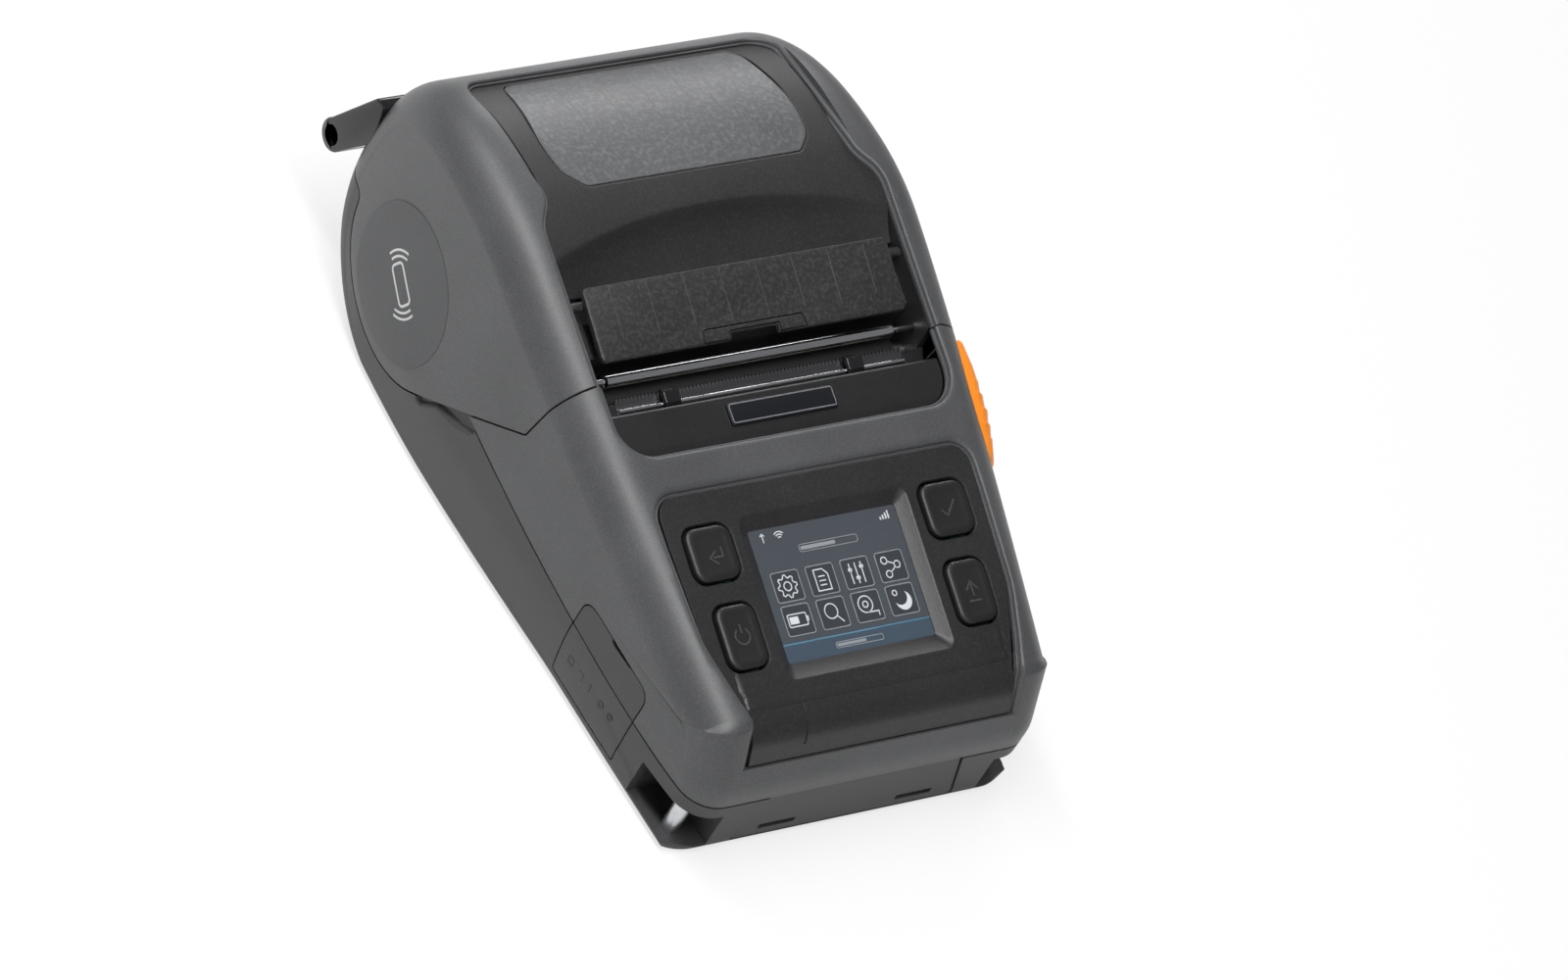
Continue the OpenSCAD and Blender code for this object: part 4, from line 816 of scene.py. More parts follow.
def sheetSolid(upper, lower):  # two grids of points (n, m, 3) joined round their rims
    n, m = upper.shape[:2]
    i = np.arange(n * m).reshape(n, m)
    rim = np.concatenate([i[0, :-1], i[:-1, -1], i[-1, :0:-1], i[:0:-1, 0]])
    walls = np.stack([rim, np.roll(rim, -1), np.roll(rim, -1) + n * m, rim + n * m], -1)
    faces = gridFaces(n, m)
    return np.concatenate([upper.reshape(-1, 3), lower.reshape(-1, 3)]), [faces, faces[:, ::-1] + n * m, walls]


def heightSolid(x, u, top, thick):  # grid of surface points made solid downwards
    return sheetSolid(np.stack([x, u, top], -1), np.stack([x, u, top - thick], -1))


def windowLoop(extra=0.0):
    v = windowForm
    w = v["width"] / 2
    half = [(v["front"] / 2, v["u0"]), (w - 1.2, v["u0"] + 4.5), (w, v["u0"] + 12), (v["rear"] / 2, v["u1"])]
    radii = [v["corner"], 6, 30, 3.5]
    return grow(roundedLoop(mirrored(half), radii + radii[::-1], 6), extra)


def makeCentrePanel():
    v = scoop
    x = np.linspace(-47.5, 47.5, 96)
    rimU = v["u"] - v["bow"] + np.sqrt((v["bow"] + v["r"] * 0.94) ** 2 - x ** 2)
    s = np.linspace(0, 1, 60)[:, None]
    front = v["front"] + (rimU + 2 - v["front"]) * s
    back = rimU + 2 + (v["rear"] - rimU - 2) * s[1:]
    u = np.concatenate([front, back])
    x = np.broadcast_to(x, u.shape)
    piece = solid("centrePanel", heightSolid(x, u, panelTop(x, u), v["thick"]))
    carve(piece, [plate(grow(recessLoop, -0.12))],
          less=[flared(windowLoop(0.12), rollZ, roundLip(0.5), v["drop"])])
    x, u = np.meshgrid(np.linspace(-50, 50, 60), np.linspace(127, 166, 40))
    under = cutter(heightSolid(x, u, topZ(x, u, 2.3), 1.4))
    carve(under, [plate(grow(recessLoop, 2.4))], less=[plate(windowLoop(0.12))])
    carve(piece, add=[under])
    finishPiece(piece, "cover", "blackPlastic", ["centre_panel"], 24)


makeCentrePanel()
print("centre panel done")


def makeWindow():
    x, u = np.meshgrid(np.linspace(-36, 36, 73), np.linspace(127, 164, 60))
    top = topZ(x, u, scoop["drop"] + windowForm["sink"])
    piece = solid("windowPane", heightSolid(x, u, top, windowForm["thick"]))
    carve(piece, [plate(windowLoop())])
    finishPiece(piece, "cover", "smoke", ["window"])


makeWindow()
print("window done")


def surfaceX(u, z):
    # Half width of the outer form on its upper edge: edge arc of radius r, small arc of radius blendR, then the side
    r, r2 = form["edgeR"], form["blendR"]
    end, last = math.radians(form["edgeDeg"]), math.radians(form["blendDeg"])
    sink = (deckZ(u) - z) * math.cos(math.radians(deckDeg))
    half = halfWidth(u, z)
    f1 = np.arccos(np.clip(1 - sink / r, math.cos(end), 1))
    over = np.clip(sink - r * (1 - math.cos(end)), 0, r2 * (math.cos(end) - math.cos(last)))
    f2 = np.arccos(np.clip(math.cos(end) - over / r2, -1, 1))
    return half - r * (math.sin(end) - np.sin(f1)) - r2 * (math.sin(last) - np.sin(f2))


def distanceTo(loop, a, b):  # distance of each point (a, b) from the closed outline
    p = np.asarray(loop, float)
    d = np.roll(p, -1, 0) - p
    pa, pb = np.asarray(a)[..., None] - p[:, 0], np.asarray(b)[..., None] - p[:, 1]
    t = np.clip((pa * d[:, 0] + pb * d[:, 1]) / np.maximum((d ** 2).sum(1), 1e-9), 0, 1)
    return np.hypot(pa - t * d[:, 0], pb - t * d[:, 1]).min(-1)


def rollDrop(distance, r):  # how far a quarter-round edge of radius r has dropped at a distance from its outline
    return r - np.sqrt(np.maximum(r * r - np.maximum(r - distance, 0) ** 2, 0))


def makeButton():
    # Pad that swells out of the side: height from the side form, fading to both ends, with four saw-tooth ribs
    v = dict(inner=48.2, roll=1.2, ribs=4, first=60.0, pitch=3.3, rib=0.55,
             places=(53.5, 60, 66, 76, 83), heights=(0.3, 2.0, 2.7, 2.3, 1.3))
    u, z = np.meshgrid(np.linspace(53, 83.5, 150), np.linspace(42, 56.5, 60))
    along = (u - v["first"]) / v["pitch"]
    ribbed = (along > 0) & (along < v["ribs"])
    saw = np.where(ribbed, (along % 1) ** 1.6 * np.minimum(1, (1 - along % 1) * 6), 0)
    x = surfaceX(u, z) + np.interp(u, v["places"], v["heights"]) + v["rib"] * (saw - 0.5 * ribbed)
    x = x - rollDrop(distanceTo(buttonOutline, u, z), v["roll"])
    points, faces = heightSolid(u, z, x, 6.0)
    piece = solid("releaseButton", (points[:, [2, 0, 1]], faces))
    carve(piece, [acrossLoop(buttonOutline, v["inner"], 90)])
    finishPiece(piece, "release", "orangePlastic", ["release_button"], 40)


makeButton()
print("button done")

# Thin raised strips for signs and marks, on any surface given as place(x, y, height)


def strip(path, width, low, high, closed=False):
    # Ribbon of the given width along a polyline (x, y), as rings of four points
    p = np.asarray(path, float)
    ahead = (np.roll(p, -1, 0) - p) if closed else np.gradient(p, axis=0)
    back = (p - np.roll(p, 1, 0)) if closed else ahead
    if not closed:
        step = unit(np.diff(p, axis=0))
        ahead, back = np.concatenate([step, step[-1:]]), np.concatenate([step[:1], step])
    a, b = unit(ahead), unit(back)
    along = unit(a + b)
    normal = np.column_stack([-along[:, 1], along[:, 0]])
    reach = width / 2 / np.maximum((normal * np.column_stack([-a[:, 1], a[:, 0]])).sum(1), 0.5)
    left, right = p + normal * reach[:, None], p - normal * reach[:, None]
    n = len(p)
    rows = np.stack([np.column_stack([left, np.full(n, low)]), np.column_stack([left, np.full(n, high)]),
                     np.column_stack([right, np.full(n, high)]), np.column_stack([right, np.full(n, low)])], 1)
    faces = [gridFaces(n, 4, loopRows=closed, loopCols=True)]
    if not closed:
        faces.append([[3, 2, 1, 0], [4 * n - 4, 4 * n - 3, 4 * n - 2, 4 * n - 1]])
    return rows.reshape(-1, 3), faces


def together(parts):  # several (points, faces) solids as one
    points, faces, start = [], [], 0
    for p, groups in parts:
        points.append(p)
        for g in groups:
            faces.append([[i + start for i in f] for f in (g if isinstance(g, list) else g.tolist())])
        start += len(p)
    return np.concatenate(points), faces


def circle(x, y, r, n=24, a0=0.0, a1=360.0):
    whole = abs(a1 - a0) >= 360
    a = np.radians(np.linspace(a0, a1, n, endpoint=not whole))
    return np.column_stack([x + r * np.cos(a), y + r * np.sin(a)])


def signs(name, parts, place, body, material):
    finishPiece(solid(name, placed(place, together(parts))), body, material, ())


panelPlane = dict(u=19.7, z=39.196, degrees=19.502, foot=27.0, chinShift=0.109, noseR=9.0, thick=2.0)


def onPanel(points):
    v = panelPlane
    return tilted(points, (0, v["u"], v["z"]), v["degrees"])


screenForm = dict(x=20.3, y0=-0.35, y1=30.15, wellX=23.1, wellY0=-4.3, wellY1=33.3, wellR=2.4)
keyForms = dict(  # x, y, width, length on the panel
    key_back=(-32.45, 26.45, 12.1, 12.3), key_confirm=(32.45, 26.45, 12.1, 12.3),
    key_power=(-31.8, 7.25, 10.4, 14.5), key_feed=(31.8, 7.25, 10.4, 14.5))


def panelProfile():
    # Outer line of the panel (u, z, outward angle) from the foot up the chin, round the nose and along the key face
    v = panelPlane
    slope, chin = math.radians(v["degrees"]), math.radians(90 - form["chinDeg"])
    lean = math.tan(math.radians(form["chinDeg"]))
    foot = np.array([(v["foot"] - form["chinH"]) * lean + v["chinShift"], v["foot"]])
    up, over = np.array([math.cos(chin), math.sin(chin)]), np.array([math.cos(slope), math.sin(slope)])
    mid = np.array([v["u"], v["z"]])
    t = np.linalg.solve(np.column_stack([up, -over]), mid - foot)
    corner = foot + up * t[0]
    run = v["noseR"] * math.tan((chin - slope) / 2)
    hub = corner - up * run + v["noseR"] * np.array([math.sin(chin), -math.cos(chin)])
    a = np.linspace(chin, slope, 26) + math.pi / 2
    arc = hub + v["noseR"] * np.column_stack([np.cos(a), np.sin(a)])
    straight = np.linspace(0, 1, 10)[:-1, None]
    low = foot + (arc[0] - foot) * straight
    last = mid + over * 41.5
    y = np.linspace(0, 1, 105)[1:, None]
    high = arc[-1] + (last - arc[-1]) * y
    angle = np.concatenate([np.full(9, a[0]), a, np.full(104, a[-1])])
    return np.column_stack([np.concatenate([low, arc, high]), angle])


def makeDisplayPanel():
    # Sheet bent over the nose; the key face stands a step above the smooth chin, with a crease between them
    v = dict(creaseY=-9.0, halfX=36.0, corner=4.5, step=0.32, groove=0.18, ease=0.22, fadeFrom=-6.0, fadeTo=9.0)
    rows = panelProfile()
    p = panelPlane
    x = np.linspace(-44.5, 44.5, 179)
    c, t = math.cos(math.radians(p["degrees"])), math.sin(math.radians(p["degrees"]))
    y = (rows[:, 0] - p["u"]) * c + (rows[:, 1] - p["z"]) * t
    gx, gy = np.meshgrid(x, y)
    w, front, r = v["halfX"], v["creaseY"], v["corner"]
    pad = roundedLoop([(-w, front), (w, front), (w, 90), (-w, 90)], [r, r, 0.1, 0.1], 8)
    inside = (np.abs(gx) < v["halfX"]) & (gy > v["creaseY"])
    away = distanceTo(pad, gx, gy) * np.where(inside, -1, 1)
    fade = np.clip((v["fadeTo"] - gy) / (v["fadeTo"] - v["fadeFrom"]), 0, 1)
    down = v["step"] * fade * (0.5 + 0.5 * np.tanh(away / v["ease"]))
    depth = down + v["groove"] * fade * np.exp(-((away - 0.35) / 0.3) ** 2)
    pu, pz, turn = rows[:, :1], rows[:, 1:2], rows[:, 2:]
    grid = lambda d: np.stack([gx, pu - d * np.cos(turn), pz - d * np.sin(turn)], -1)
    piece = solid("displayPanel", sheetSolid(grid(depth), grid(np.full(gx.shape, p["thick"]))))
    radii = [0.1, 12, 12, 20, 20, 6]
    plan = roundedLoop(mirrored(panelForm["side"]), radii + radii[::-1], 8)
    s = screenForm
    midY = (s["wellY0"] + s["wellY1"]) / 2
    well = rectangle(2 * s["wellX"], s["wellY1"] - s["wellY0"], s["wellR"], 0, midY)
    low = rectangle(2 * s["x"], s["y1"] - s["y0"], 0.7, 0, (s["y0"] + s["y1"]) / 2)
    cuts = [onLoops([(low, -3.5), (low, -1.9), (grow(well, -0.2), -0.22), (well, -0.06), (grow(well, 0.22), 0.02),
                     (grow(well, 0.25), 3)])]
    for x0, y0, w, l in keyForms.values():
        hole = rectangle(w + 1.1, l + 1.1, 3.4, x0, y0)
        cuts.append(onLoops([(hole, -5), (hole, -0.55), (grow(hole, 0.1), -0.25), (grow(hole, 0.35), 0.02),
                             (grow(hole, 0.38), 3)]))
    carve(piece, [plate(grow(plan, -0.2), 10, 90)], less=cuts + [chinSlot(-21.5, 0.35, 0.6)])
    finishPiece(piece, "housing", "panelBlack", ["display_panel"], 28)


def onLoops(loops):  # slab of (loop, height) pairs on the panel plane
    return placed(onPanel, slab(loops))


def chinSlot(x, half, deep):  # shallow slot that runs from the crease down over the nose
    rows = panelProfile()
    rows = rows[(rows[:, 1] > 29.6) & (rows[:, 1] < 36.2)]
    loops = []
    for u, z, a in rows:
        c, t = math.cos(a), math.sin(a)
        loops.append([(x - half, u + 3 * c, z + 3 * t), (x + half, u + 3 * c, z + 3 * t),
                      (x + half, u - deep * c, z - deep * t), (x - half, u - deep * c, z - deep * t)])
    return loft(loops)


makeDisplayPanel()
print("display panel done")


def makeKeys():
    # Rubber keys: rolled shoulder, sloped top edge and a dished pad, each with its own raised sign
    rise = [(0, -2.0), (0, 0.05), (-0.1, 0.32), (-0.32, 0.55), (-0.75, 0.72), (-1.2, 0.8), (-1.7, 0.8),
            (-2.1, 0.72), (-2.7, 0.66)]
    marks = dict(
        key_back=[[(2.2, 1.1), (2.2, -1.1), (-0.4, -1.1)], [(0.6, 0.4), (-1.3, -1.1), (0.6, -2.6)]],
        key_confirm=[[(-2.0, -0.2), (-0.6, -1.7), (2.2, 1.7)]],
        key_power=[circle(0, 0, 1.9, 22, 125, 415), [(0, 0.6), (0, 2.7)]],
        key_feed=[[(-1.5, 0.2), (0, 2.1), (1.5, 0.2)], [(0, 1.9), (0, -1.4)], [(-1.8, -2.4), (1.8, -2.4)]])
    for name, (x, y, w, l) in keyForms.items():
        loops = [(rectangle(w + 2 * g, l + 2 * g, max(3.0 + g, 0.6), x, y), h) for g, h in rise]
        label = name.split("_")[1]
        body = label + "_key"
        piece = solid(label + "Key", onLoops(loops))
        finishPiece(piece, body, "keyRubber", [name], 38)
        parts = [strip(np.array(path) + [x, y], 0.42, 0.4, 0.74) for path in marks[name]]
        signs(label + "KeySign", parts, onPanel, body, "keyMark")


makeKeys()
print("keys done")


def tileSigns():
    # Our own pictograms, in mm about the centre of each tile: closed lines, open lines and filled patches
    n = np.arange(32)
    a, r = np.radians(n * 11.25), np.where(n % 4 < 2, 2.6, 2.0)
    gear = np.column_stack([r * np.cos(a), r * np.sin(a)])
    moon = np.concatenate([circle(0.3, -0.3, 2.2, 26, 186.5, 427.3), circle(-0.42, 0.66, 1.9, 22, 394.0, 219.8)])
    return [
        dict(closed=[gear, circle(0, 0, 1.0, 16)]),
        dict(closed=[[(-1.8, -2.4), (1.8, -2.4), (1.8, 1.2), (0.6, 2.4), (-1.8, 2.4)]],
             opened=[[(-0.9, y), (0.9, y)] for y in (-1.2, -0.2, 0.8)]),
        dict(opened=[[(x, -2.4), (x, 2.4)] for x in (-1.6, 0, 1.6)],
             filled=[rectangle(1.1, 0.8, 0.2, x, y, 3) for x, y in ((-1.6, 0.9), (0, -1.1), (1.6, 1.3))]),
        dict(closed=[circle(x, y, 0.8, 14) for x, y in ((-1.6, 1.5), (1.6, 0.2), (-1.2, -1.7))],
             opened=[[(-0.9, 1.2), (0.8, 0.5)], [(0.9, -0.3), (-0.5, -1.3)]]),
        dict(closed=[rectangle(5.0, 2.8, 0.3, -0.2, 0, 3)],
             filled=[rectangle(2.4, 1.7, 0.1, -1.1, 0, 2), rectangle(0.5, 1.2, 0.1, 2.6, 0, 2)]),
        dict(closed=[circle(-0.4, 0.5, 1.7, 22)], opened=[[(0.9, -0.8), (2.3, -2.3)]]),
        dict(closed=[circle(-0.5, 0.5, 1.9, 22), circle(-0.5, 0.5, 0.7, 12)],
             opened=[[(-0.5, -1.4), (2.5, -1.4), (2.5, -2.5)]]),
        dict(closed=[circle(-1.5, 1.7, 0.6, 12)], filled=[moon])]


def makeScreen():
    v = dict(frame=7.4, pitchX=9.57, pitchY=7.73, firstX=-14.15, firstY=16.6, line=0.3, thin=0.24, top=-1.94)
    s = screenForm
    x, top, wide = s["x"], v["top"], 2 * s["x"]
    pane = rectangle(2 * x + 2, s["y1"] - s["y0"] + 2, 0.5, 0, (s["y0"] + s["y1"]) / 2, 3)
    piece = solid("screenPane", onLoops([(pane, -2.9), (pane, top - 0.05)]))
    finishPiece(piece, "housing", "screenDark", ["lcd_glass"])
    low, high = top - 0.08, top
    frames, bright, tiles = [], [], []
    for k, sign in enumerate(tileSigns()):
        cx, cy = v["firstX"] + v["pitchX"] * (k % 4), v["firstY"] - v["pitchY"] * (k // 4)
        tiles.append(plate(rectangle(v["frame"] - 0.2, 6.6, 0.5, cx, cy, 3), low, high - 0.015))
        frames.append(strip(rectangle(v["frame"], 6.8, 0.6, cx, cy, 3), v["thin"], low, high, True))
        closed, opened, filled = [[np.array(q) + [cx, cy] for q in sign.get(key, ())]
                                  for key in ("closed", "opened", "filled")]
        bright += [strip(q, v["line"], low, high + 0.005, True) for q in closed]
        bright += [strip(q, v["line"], low, high + 0.005) for q in opened]
        bright += [plate(q, low, high + 0.005) for q in filled]
    y = s["y1"] - 2.2
    bright += [plate(rectangle(0.45, h, 0.1, x - 4.6 + 0.75 * i, y - 0.8 + h / 2, 2), low, high)
               for i, h in enumerate((0.7, 1.1, 1.5, 1.9))]
    bright += [strip(circle(-x + 8.1, y - 0.8, r, 9, 45, 135), 0.3, low, high) for r in (0.6, 1.2, 1.8)]
    bright += [strip([(-x + 3.6, y - 1.0), (-x + 3.6, y + 1.0)], 0.3, low, high),
               strip([(-x + 3.0, y + 0.5), (-x + 3.6, y + 1.1), (-x + 4.2, y + 0.5)], 0.28, low, high)]
    for h, rim, fill in ((s["y0"] + 2.0, (13.0, 1.3, 0.4, 0), (8.0, 0.7, 0.2, -2.2)),
                         (y - 3.6, (16.0, 1.7, 0.5, 0), (9.6, 0.9, 0.3, -2.9))):
        frames += [strip(rectangle(*rim, h, 3), 0.2, low, high, True), plate(rectangle(*fill, h, 2), low, high)]
    band = plate(rectangle(wide, 4.0, 0.2, 0, s["y0"] + 2.0, 2), low, high - 0.01)
    line = plate(rectangle(wide, 0.32, 0.05, 0, s["y0"] + 4.15, 2), low, high)
    for name, parts, material in (
            ("screenSigns", bright, "signPale"), ("screenFrames", frames, "signDim"),
            ("screenTiles", tiles, "tileDark"), ("screenBand", [band], "bandBlue"),
            ("screenLine", [line], "lineBlue")):
        signs(name, parts, onPanel, "housing", material)


makeScreen()
print("screen done")

# Label outlet: frame, badge, tear bar and its clips

outlet = dict(faceU0=69.8, faceZ0=54.0215, faceU1=78.3, faceZ1=56.6856, barU0=80.9, barZ0=52.2856,
              shelfU=83.2369, shelfZ=53.4254, thick=1.8, barDeg=26.0, barW=79.2, teeth=78)


def makeOutletFrame():
    v = outlet
    t, u0 = v["thick"], outletForm["u0"] - 0.2
    line = [(u0, v["faceZ0"] - 1.2), (v["faceU0"], v["faceZ0"]), (v["faceU1"], v["faceZ1"]),
            (v["barU0"] - 0.5, v["barZ0"]), (v["shelfU"], v["shelfZ"]), (v["shelfU"], v["shelfZ"] - t),
            (v["barU0"] - 0.5, v["barZ0"] - t), (v["faceU1"] - t, v["faceZ1"] - 2.8),
            (v["faceU0"] + 0.6, v["faceZ0"] - 2), (u0, v["faceZ0"] - 3)]
    loop = roundedLoop(line, [0.1, 3.5, 0.9, 0.8, 0.2, 0.2, 0.5, 0.5, 0.5, 0.1], 6)
    piece = solid("outletFrame", acrossLoop(loop, -50, 50))
    carve(piece, [plate(outletPlan(outletForm["gap"]), 20, 100)])
    finishPiece(piece, "housing", "satinBlack", ["outlet_frame"], 40)


def onFace(points):
    v = outlet
    u = (v["faceU0"] + v["faceU1"]) / 2
    return tilted(points, (0, u, (v["faceZ0"] + v["faceZ1"]) / 2), deckDeg)


def makeBadge():
    v = dict(width=29.4, height=5.4, corner=0.8)
    loops = [(rectangle(v["width"] + 2 * g, v["height"] + 2 * g, v["corner"], 0, 0), h)
             for g, h in ((0, -0.2), (0, 0.42), (-0.1, 0.62), (-0.3, 0.72))]
    piece = solid("badgePlate", placed(onFace, slab(loops)))
    finishPiece(piece, "housing", "badgeBlack", ["badge_plate"])
    ring = strip(rectangle(v["width"] - 1.1, v["height"] - 1.1, 0.4, 0, 0, 4), 0.3, 0.4, 0.75, True)
    signs("badgeBorder", [ring], onFace, "housing", "markGrey")


def onBar(points):
    return tilted(points, (0, outlet["barU0"], outlet["barZ0"]), outlet["barDeg"])


def makeTearBar():
    # Hollow-ground plate with pointed teeth, and the rolled lip below it; the plate's dark steel tone is a painted
    # dark reflection, as plate and lip are one steel
    v = dict(lip=0.65, depth=3.7, tooth=0.5, thin=0.28, steps=4)
    n = outlet["teeth"] * v["steps"] + 1
    x = np.linspace(-outlet["barW"] / 2, outlet["barW"] / 2, n)
    saw = np.abs((np.arange(n) / v["steps"]) % 1 - 0.5) * 2
    edge = v["depth"] - v["tooth"] * saw
    s = np.linspace(0, 1, 10)
    along = v["lip"] + (edge[:, None] - v["lip"]) * s
    up = v["thin"] + 0.5 * (2 * s - 1) ** 2 * np.where(s < 0.5, 1, 0.45)
    top = np.stack([np.broadcast_to(x[:, None], along.shape), along, np.broadcast_to(up, along.shape)], -1)
    low = top[:, ::-1].copy()
    low[..., 2] = np.minimum(0.05, low[..., 2] - 0.2)
    piece = solid("tearBar", placed(onBar, loft(np.concatenate([top, low], 1))))
    # the plate's steel, darker than the lip's, is a painted dark reflection
    finishPiece(piece, "housing", "paintedReflectionSteel", ["tear_bar"], 30)
    half = outlet["barW"] / 2
    profile = [(0, 0.45), (0.2, v["lip"]), (-0.2, v["lip"]), (-0.0001, 0.45)]
    piece = solid("tearLip", placed(onBar, barrel(-half, half, v["lip"], v["lip"] + 0.02, profile, 28)))
    finishPiece(piece, "housing", "brightSteel", ())


def makeClips():
    v = dict(x=25.344, width=4.4)
    line = roundedLoop([(-0.3, 1.0), (1.3, 1.0), (3.4, 0.5), (4.0, 0.55), (4.0, 1.2), (3.3, 2.05), (0.65, 2.4),
                        (-0.3, 1.95)], [0.1, 0.2, 0.2, 0.1, 0.3, 0.5, 0.5, 0.5], 5)
    ends = [(0, -0.35), (0.12, -0.14), (0.4, 0)]
    for side, node in ((-1, "bar_clip_left"), (1, "bar_clip_right")):
        x0, x1 = side * v["x"] - v["width"] / 2, side * v["x"] + v["width"] / 2
        rings = [(x0 + d, g) for d, g in ends] + [(x1 - d, g) for d, g in ends[::-1]]
        piece = solid("clipLeft" if side < 0 else "clipRight", placed(onBar, acrossRings(line, rings)))
        finishPiece(piece, "housing", "glossBlack", [node], 40)


makeOutletFrame()
makeBadge()
makeTearBar()
makeClips()
print("outlet done")

# Cover details: peel rod, peeler flap, window lines


def makePeelRod():
    v = dict(u=88.8, z=54.3348, r=1.5, half=39.8, endHalf=47.8)
    h, e, r = v["half"], v["endHalf"], v["r"]
    profile = [(0, r / 2 - 0.1), (0.15, r / 2), (e - h - 0.1, r / 2), (e - h, r * 0.8), (e - h + 0.3, r)]
    profile += [(-d - 1e-4, q) for d, q in profile[::-1]]
    piece = solid("peelRod", barrel(-e, e, v["u"], v["z"], profile, 48))
    finishPiece(piece, "cover", "brightSteel", ["peel_rod"], 35)


def onFlap(points):
    v = dict(u=89.8, z=60.4348, lean=4.4)
    return tilted(points, (0, v["u"], v["z"]), deckDeg + v["lean"])


def makeFlap():
    # Plate with a catch notch, two pins at its upper edge and a shallow trench round the catch pad
    v = dict(width=84.0, length=17.0, thick=1.6, notch=6.5, deep=1.7, catch=14.4, high=3.4,
             pinU=103.504, pinZ=62.793, pinR=1.15, pinHalf=4.4)
    w, l = v["width"] / 2, v["length"]
    n, d = v["notch"], v["deep"]
    edge = roundedLoop([(-w, 0), (-n, 0), (-n, d), (n, d), (n, 0), (w, 0), (w, l), (-w, l)],
                       [1.2, 0.5, 0.4, 0.4, 0.5, 1.2, 1.4, 1.4], 5)
    sheet = slab([(grow(edge, -0.3), -v["thick"]), (grow(edge, -0.02), -v["thick"] + 0.3), (edge, -0.5),
                  (grow(edge, -0.12), -0.18), (grow(edge, -0.45), 0)])
    piece = solid("peelerFlap", placed(onFlap, sheet))
    pins = together([rod(x - v["pinHalf"], x + v["pinHalf"], v["pinU"], v["pinZ"], v["pinR"], 20) for x in (-w, w)])
    c, k = v["catch"], n + 0.3
    pad = roundedLoop([(-c, 0.05), (-k, 0.05), (-k, d + 0.3), (k, d + 0.3), (k, 0.05), (c, 0.05),
                       (c - 0.7, v["high"]), (-c + 0.7, v["high"])], [0.3, 0.2, 0.3, 0.3, 0.2, 0.3, 1.0, 1.0], 4)
    ring, plug = placed(onFlap, plate(pad, -0.75, 0.4)), placed(onFlap, plate(grow(pad, -0.32), -0.95, 0.6))
    carve(piece, add=[pins], less=[carve(cutter(ring), less=[plug])])
    finishPiece(piece, "flap", "coarseBlack", ["peeler_flap"], 35)
    marks = [strip([(10 * i, 4.6), (10 * i, l - 0.8)], 0.16, -0.3, 0.03) for i in np.arange(-3.5, 4)]
    signs("flapLines", marks, onFlap, "flap", "markDim")


def onWindow(points):
    x, u, h = np.moveaxis(np.asarray(points, float), -1, 0)
    return np.stack([x, u, topZ(x, u, scoop["drop"] + windowForm["sink"]) + h], -1)


def makeWindowLines():
    u = np.linspace(132.5, 158.5, 14)
    marks = [strip(np.column_stack([np.full(14, 10.0 * i), u]), 0.16, -0.2, 0.04) for i in (-2, -1, 0, 1, 2)]
    signs("windowLines", marks, onWindow, "cover", "markGrey")
    # lighter grey ring just inside the window edge: a painted highlight along the rim
    rim = strip(grow(windowLoop(), -0.35), 0.4, -0.3, 0.03, True)
    signs("windowRimHighlight", [rim], onWindow, "cover", "paintedRimHighlight")


makePeelRod()
makeFlap()
makeWindowLines()
print("cover details done")

# Marks on the left side


def onLeftSide(points):  # (u, z, height) on the left flank
    u, z, h = np.moveaxis(np.asarray(points, float), -1, 0)
    return np.stack([-(halfWidth(u, z) + h), u, z], -1)


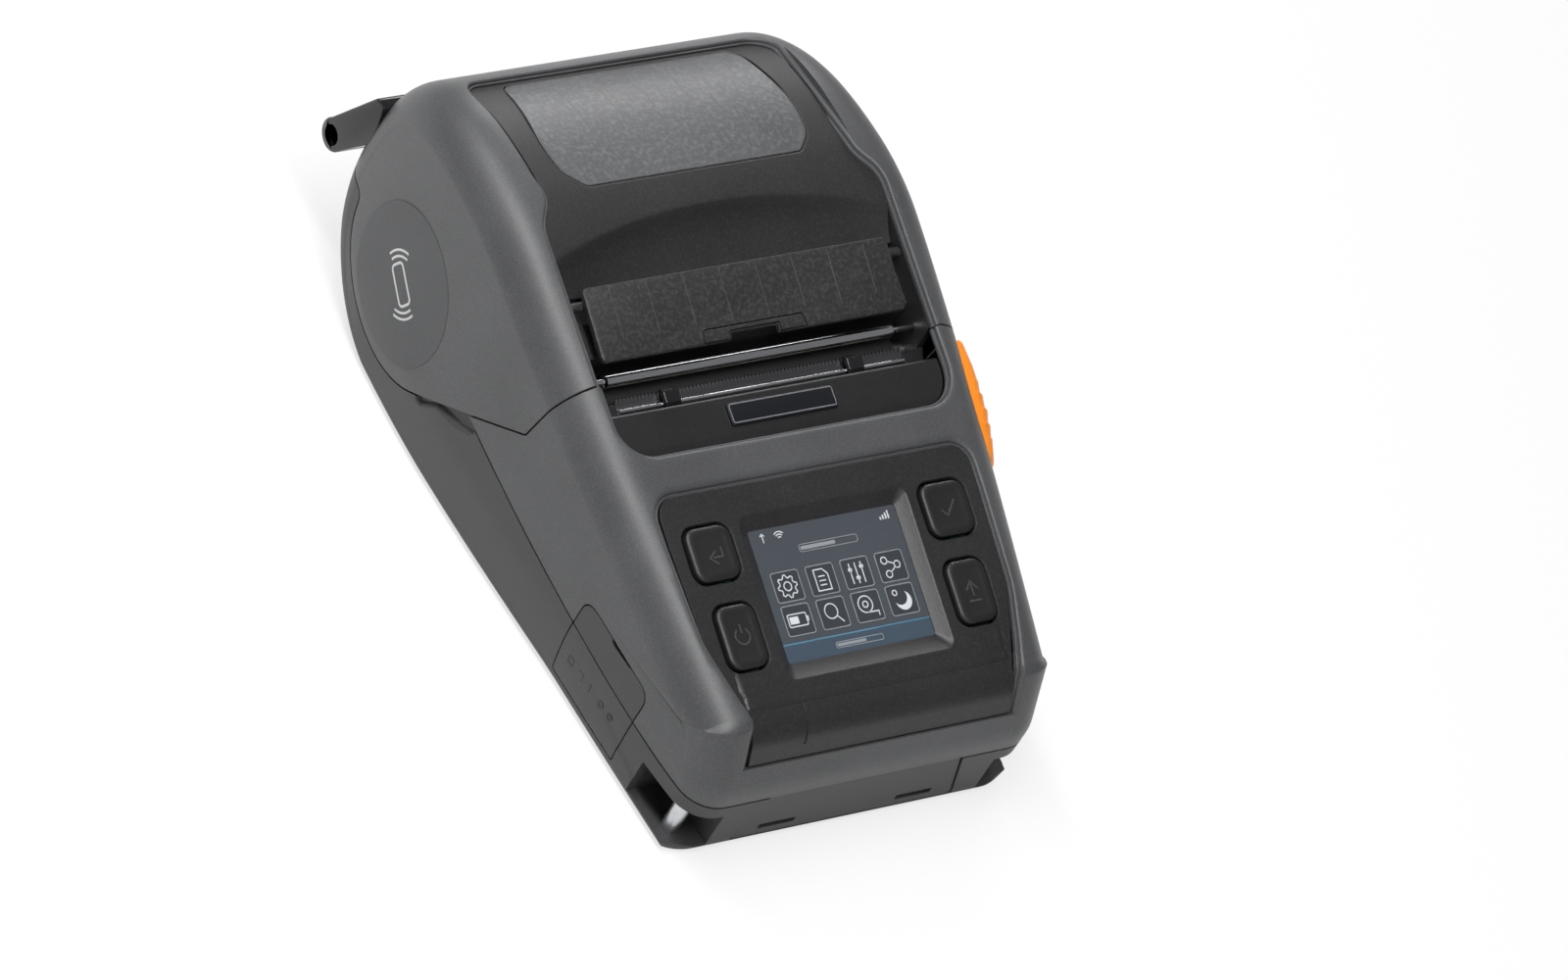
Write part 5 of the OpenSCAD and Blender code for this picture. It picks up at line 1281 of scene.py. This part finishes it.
def makeSideMarks():
    v = dict(u=137.5, z=31.5, lean=-64, low=-0.4, high=0.05)
    u, z, turn = v["u"], v["z"], math.radians(v["lean"])
    spin = np.array([[math.cos(turn), math.sin(turn)], [-math.sin(turn), math.cos(turn)]])
    lean = lambda path: np.asarray(path, float) @ spin + [u, z]
    parts = [strip(lean(rectangle(4.4, 9.4, 1.1, 0, 0, 5)), 0.6, -0.4, 0.06, True)]
    for a0 in (100, 280):
        for r in (6.3, 7.7):
            parts.append(strip(lean(circle(0, 0, r, 16, a0 - 26, a0 + 34)), 0.55, -0.4, 0.06))
    signs("cheekSign", parts, onLeftSide, "cover", "signWhite")
    disc = slab([(circle(u, z, r, 72), h) for r, h in
                 ((18.6, -0.3), (18.6, 0.03), (18.3, 0.045), (12, 0.045), (6, 0.045), (1, 0.045))])
    signs("cheekDisc", [disc], onLeftSide, "cover", "discGrey")
    small = [(circle(30.5 + 3.6 * i, 12.2, 0.8, 14), 0.28, True) for i in (0, 1)]
    small += [([(38.6, 11.0), (38.6, 13.6)], 0.3, False), ([(41.6, 11.0), (41.6, 13.0), (43.2, 13.0)], 0.3, False),
              (rectangle(1.8, 2.2, 0.3, 46.4, 12.2, 3), 0.28, True)]
    small = [strip(path, width, v["low"], v["high"], closed) for path, width, closed in small]
    signs("portMarks", small, onLeftSide, "port_door", "markDark")


makeSideMarks()
print("side marks done")


def makeHinge():
    # Two webbed barrels on the cover with open ends, and the pin between them
    v = dict(u=181.3, z=29.0, r=4.0, half=50.0, width=17.0, bore=2.5, deep=9.0, pin=1.5)
    web = [(175.5, 49.0), (172.5, 49.0), (170.0, 40.0)]
    a = np.radians(np.linspace(-150, 45, 40))
    around = np.column_stack([v["u"] + v["r"] * np.cos(a), v["z"] + v["r"] * np.sin(a)])
    loop = roundedLoop(np.concatenate([around, web]), [0.01] * 40 + [1.6, 1.0, 1.0], 4)
    for side in (-1, 1):
        x0, x1 = sorted((side * v["half"], side * (v["half"] - v["width"])))
        rings = [(x0, -0.5), (x0 + 0.15, -0.15), (x0 + 0.5, 0), (x1 - 0.5, 0), (x1 - 0.15, -0.15), (x1, -0.5)]
        arm = solid("hingeArmLeft" if side < 0 else "hingeArmRight", acrossRings(loop, rings))
        ends = sorted((side * (v["half"] - v["deep"]), side * (v["half"] + 1)))
        carve(arm, less=[outerBody, rod(*ends, v["u"], v["z"], v["bore"], 36),
                         rod(x0 - 1, x1 + 1, v["u"], v["z"], v["pin"] + 0.05, 32)])
        finishPiece(arm, "cover", "glossBlack", ["hinge_arms"], 40)
    reach = v["half"] - v["deep"] - 1
    profile = [(0, 1.2), (0.3, v["pin"]), (-0.3, v["pin"]), (-1e-4, 1.2)]
    pin = solid("hingePin", barrel(-reach, reach, v["u"], v["z"], profile, 32))
    finishPiece(pin, "housing", "steel", ["hinge_pin"])


makeHinge()
print("hinge done")

for thing in scratch:
    bpy.data.objects.remove(thing)
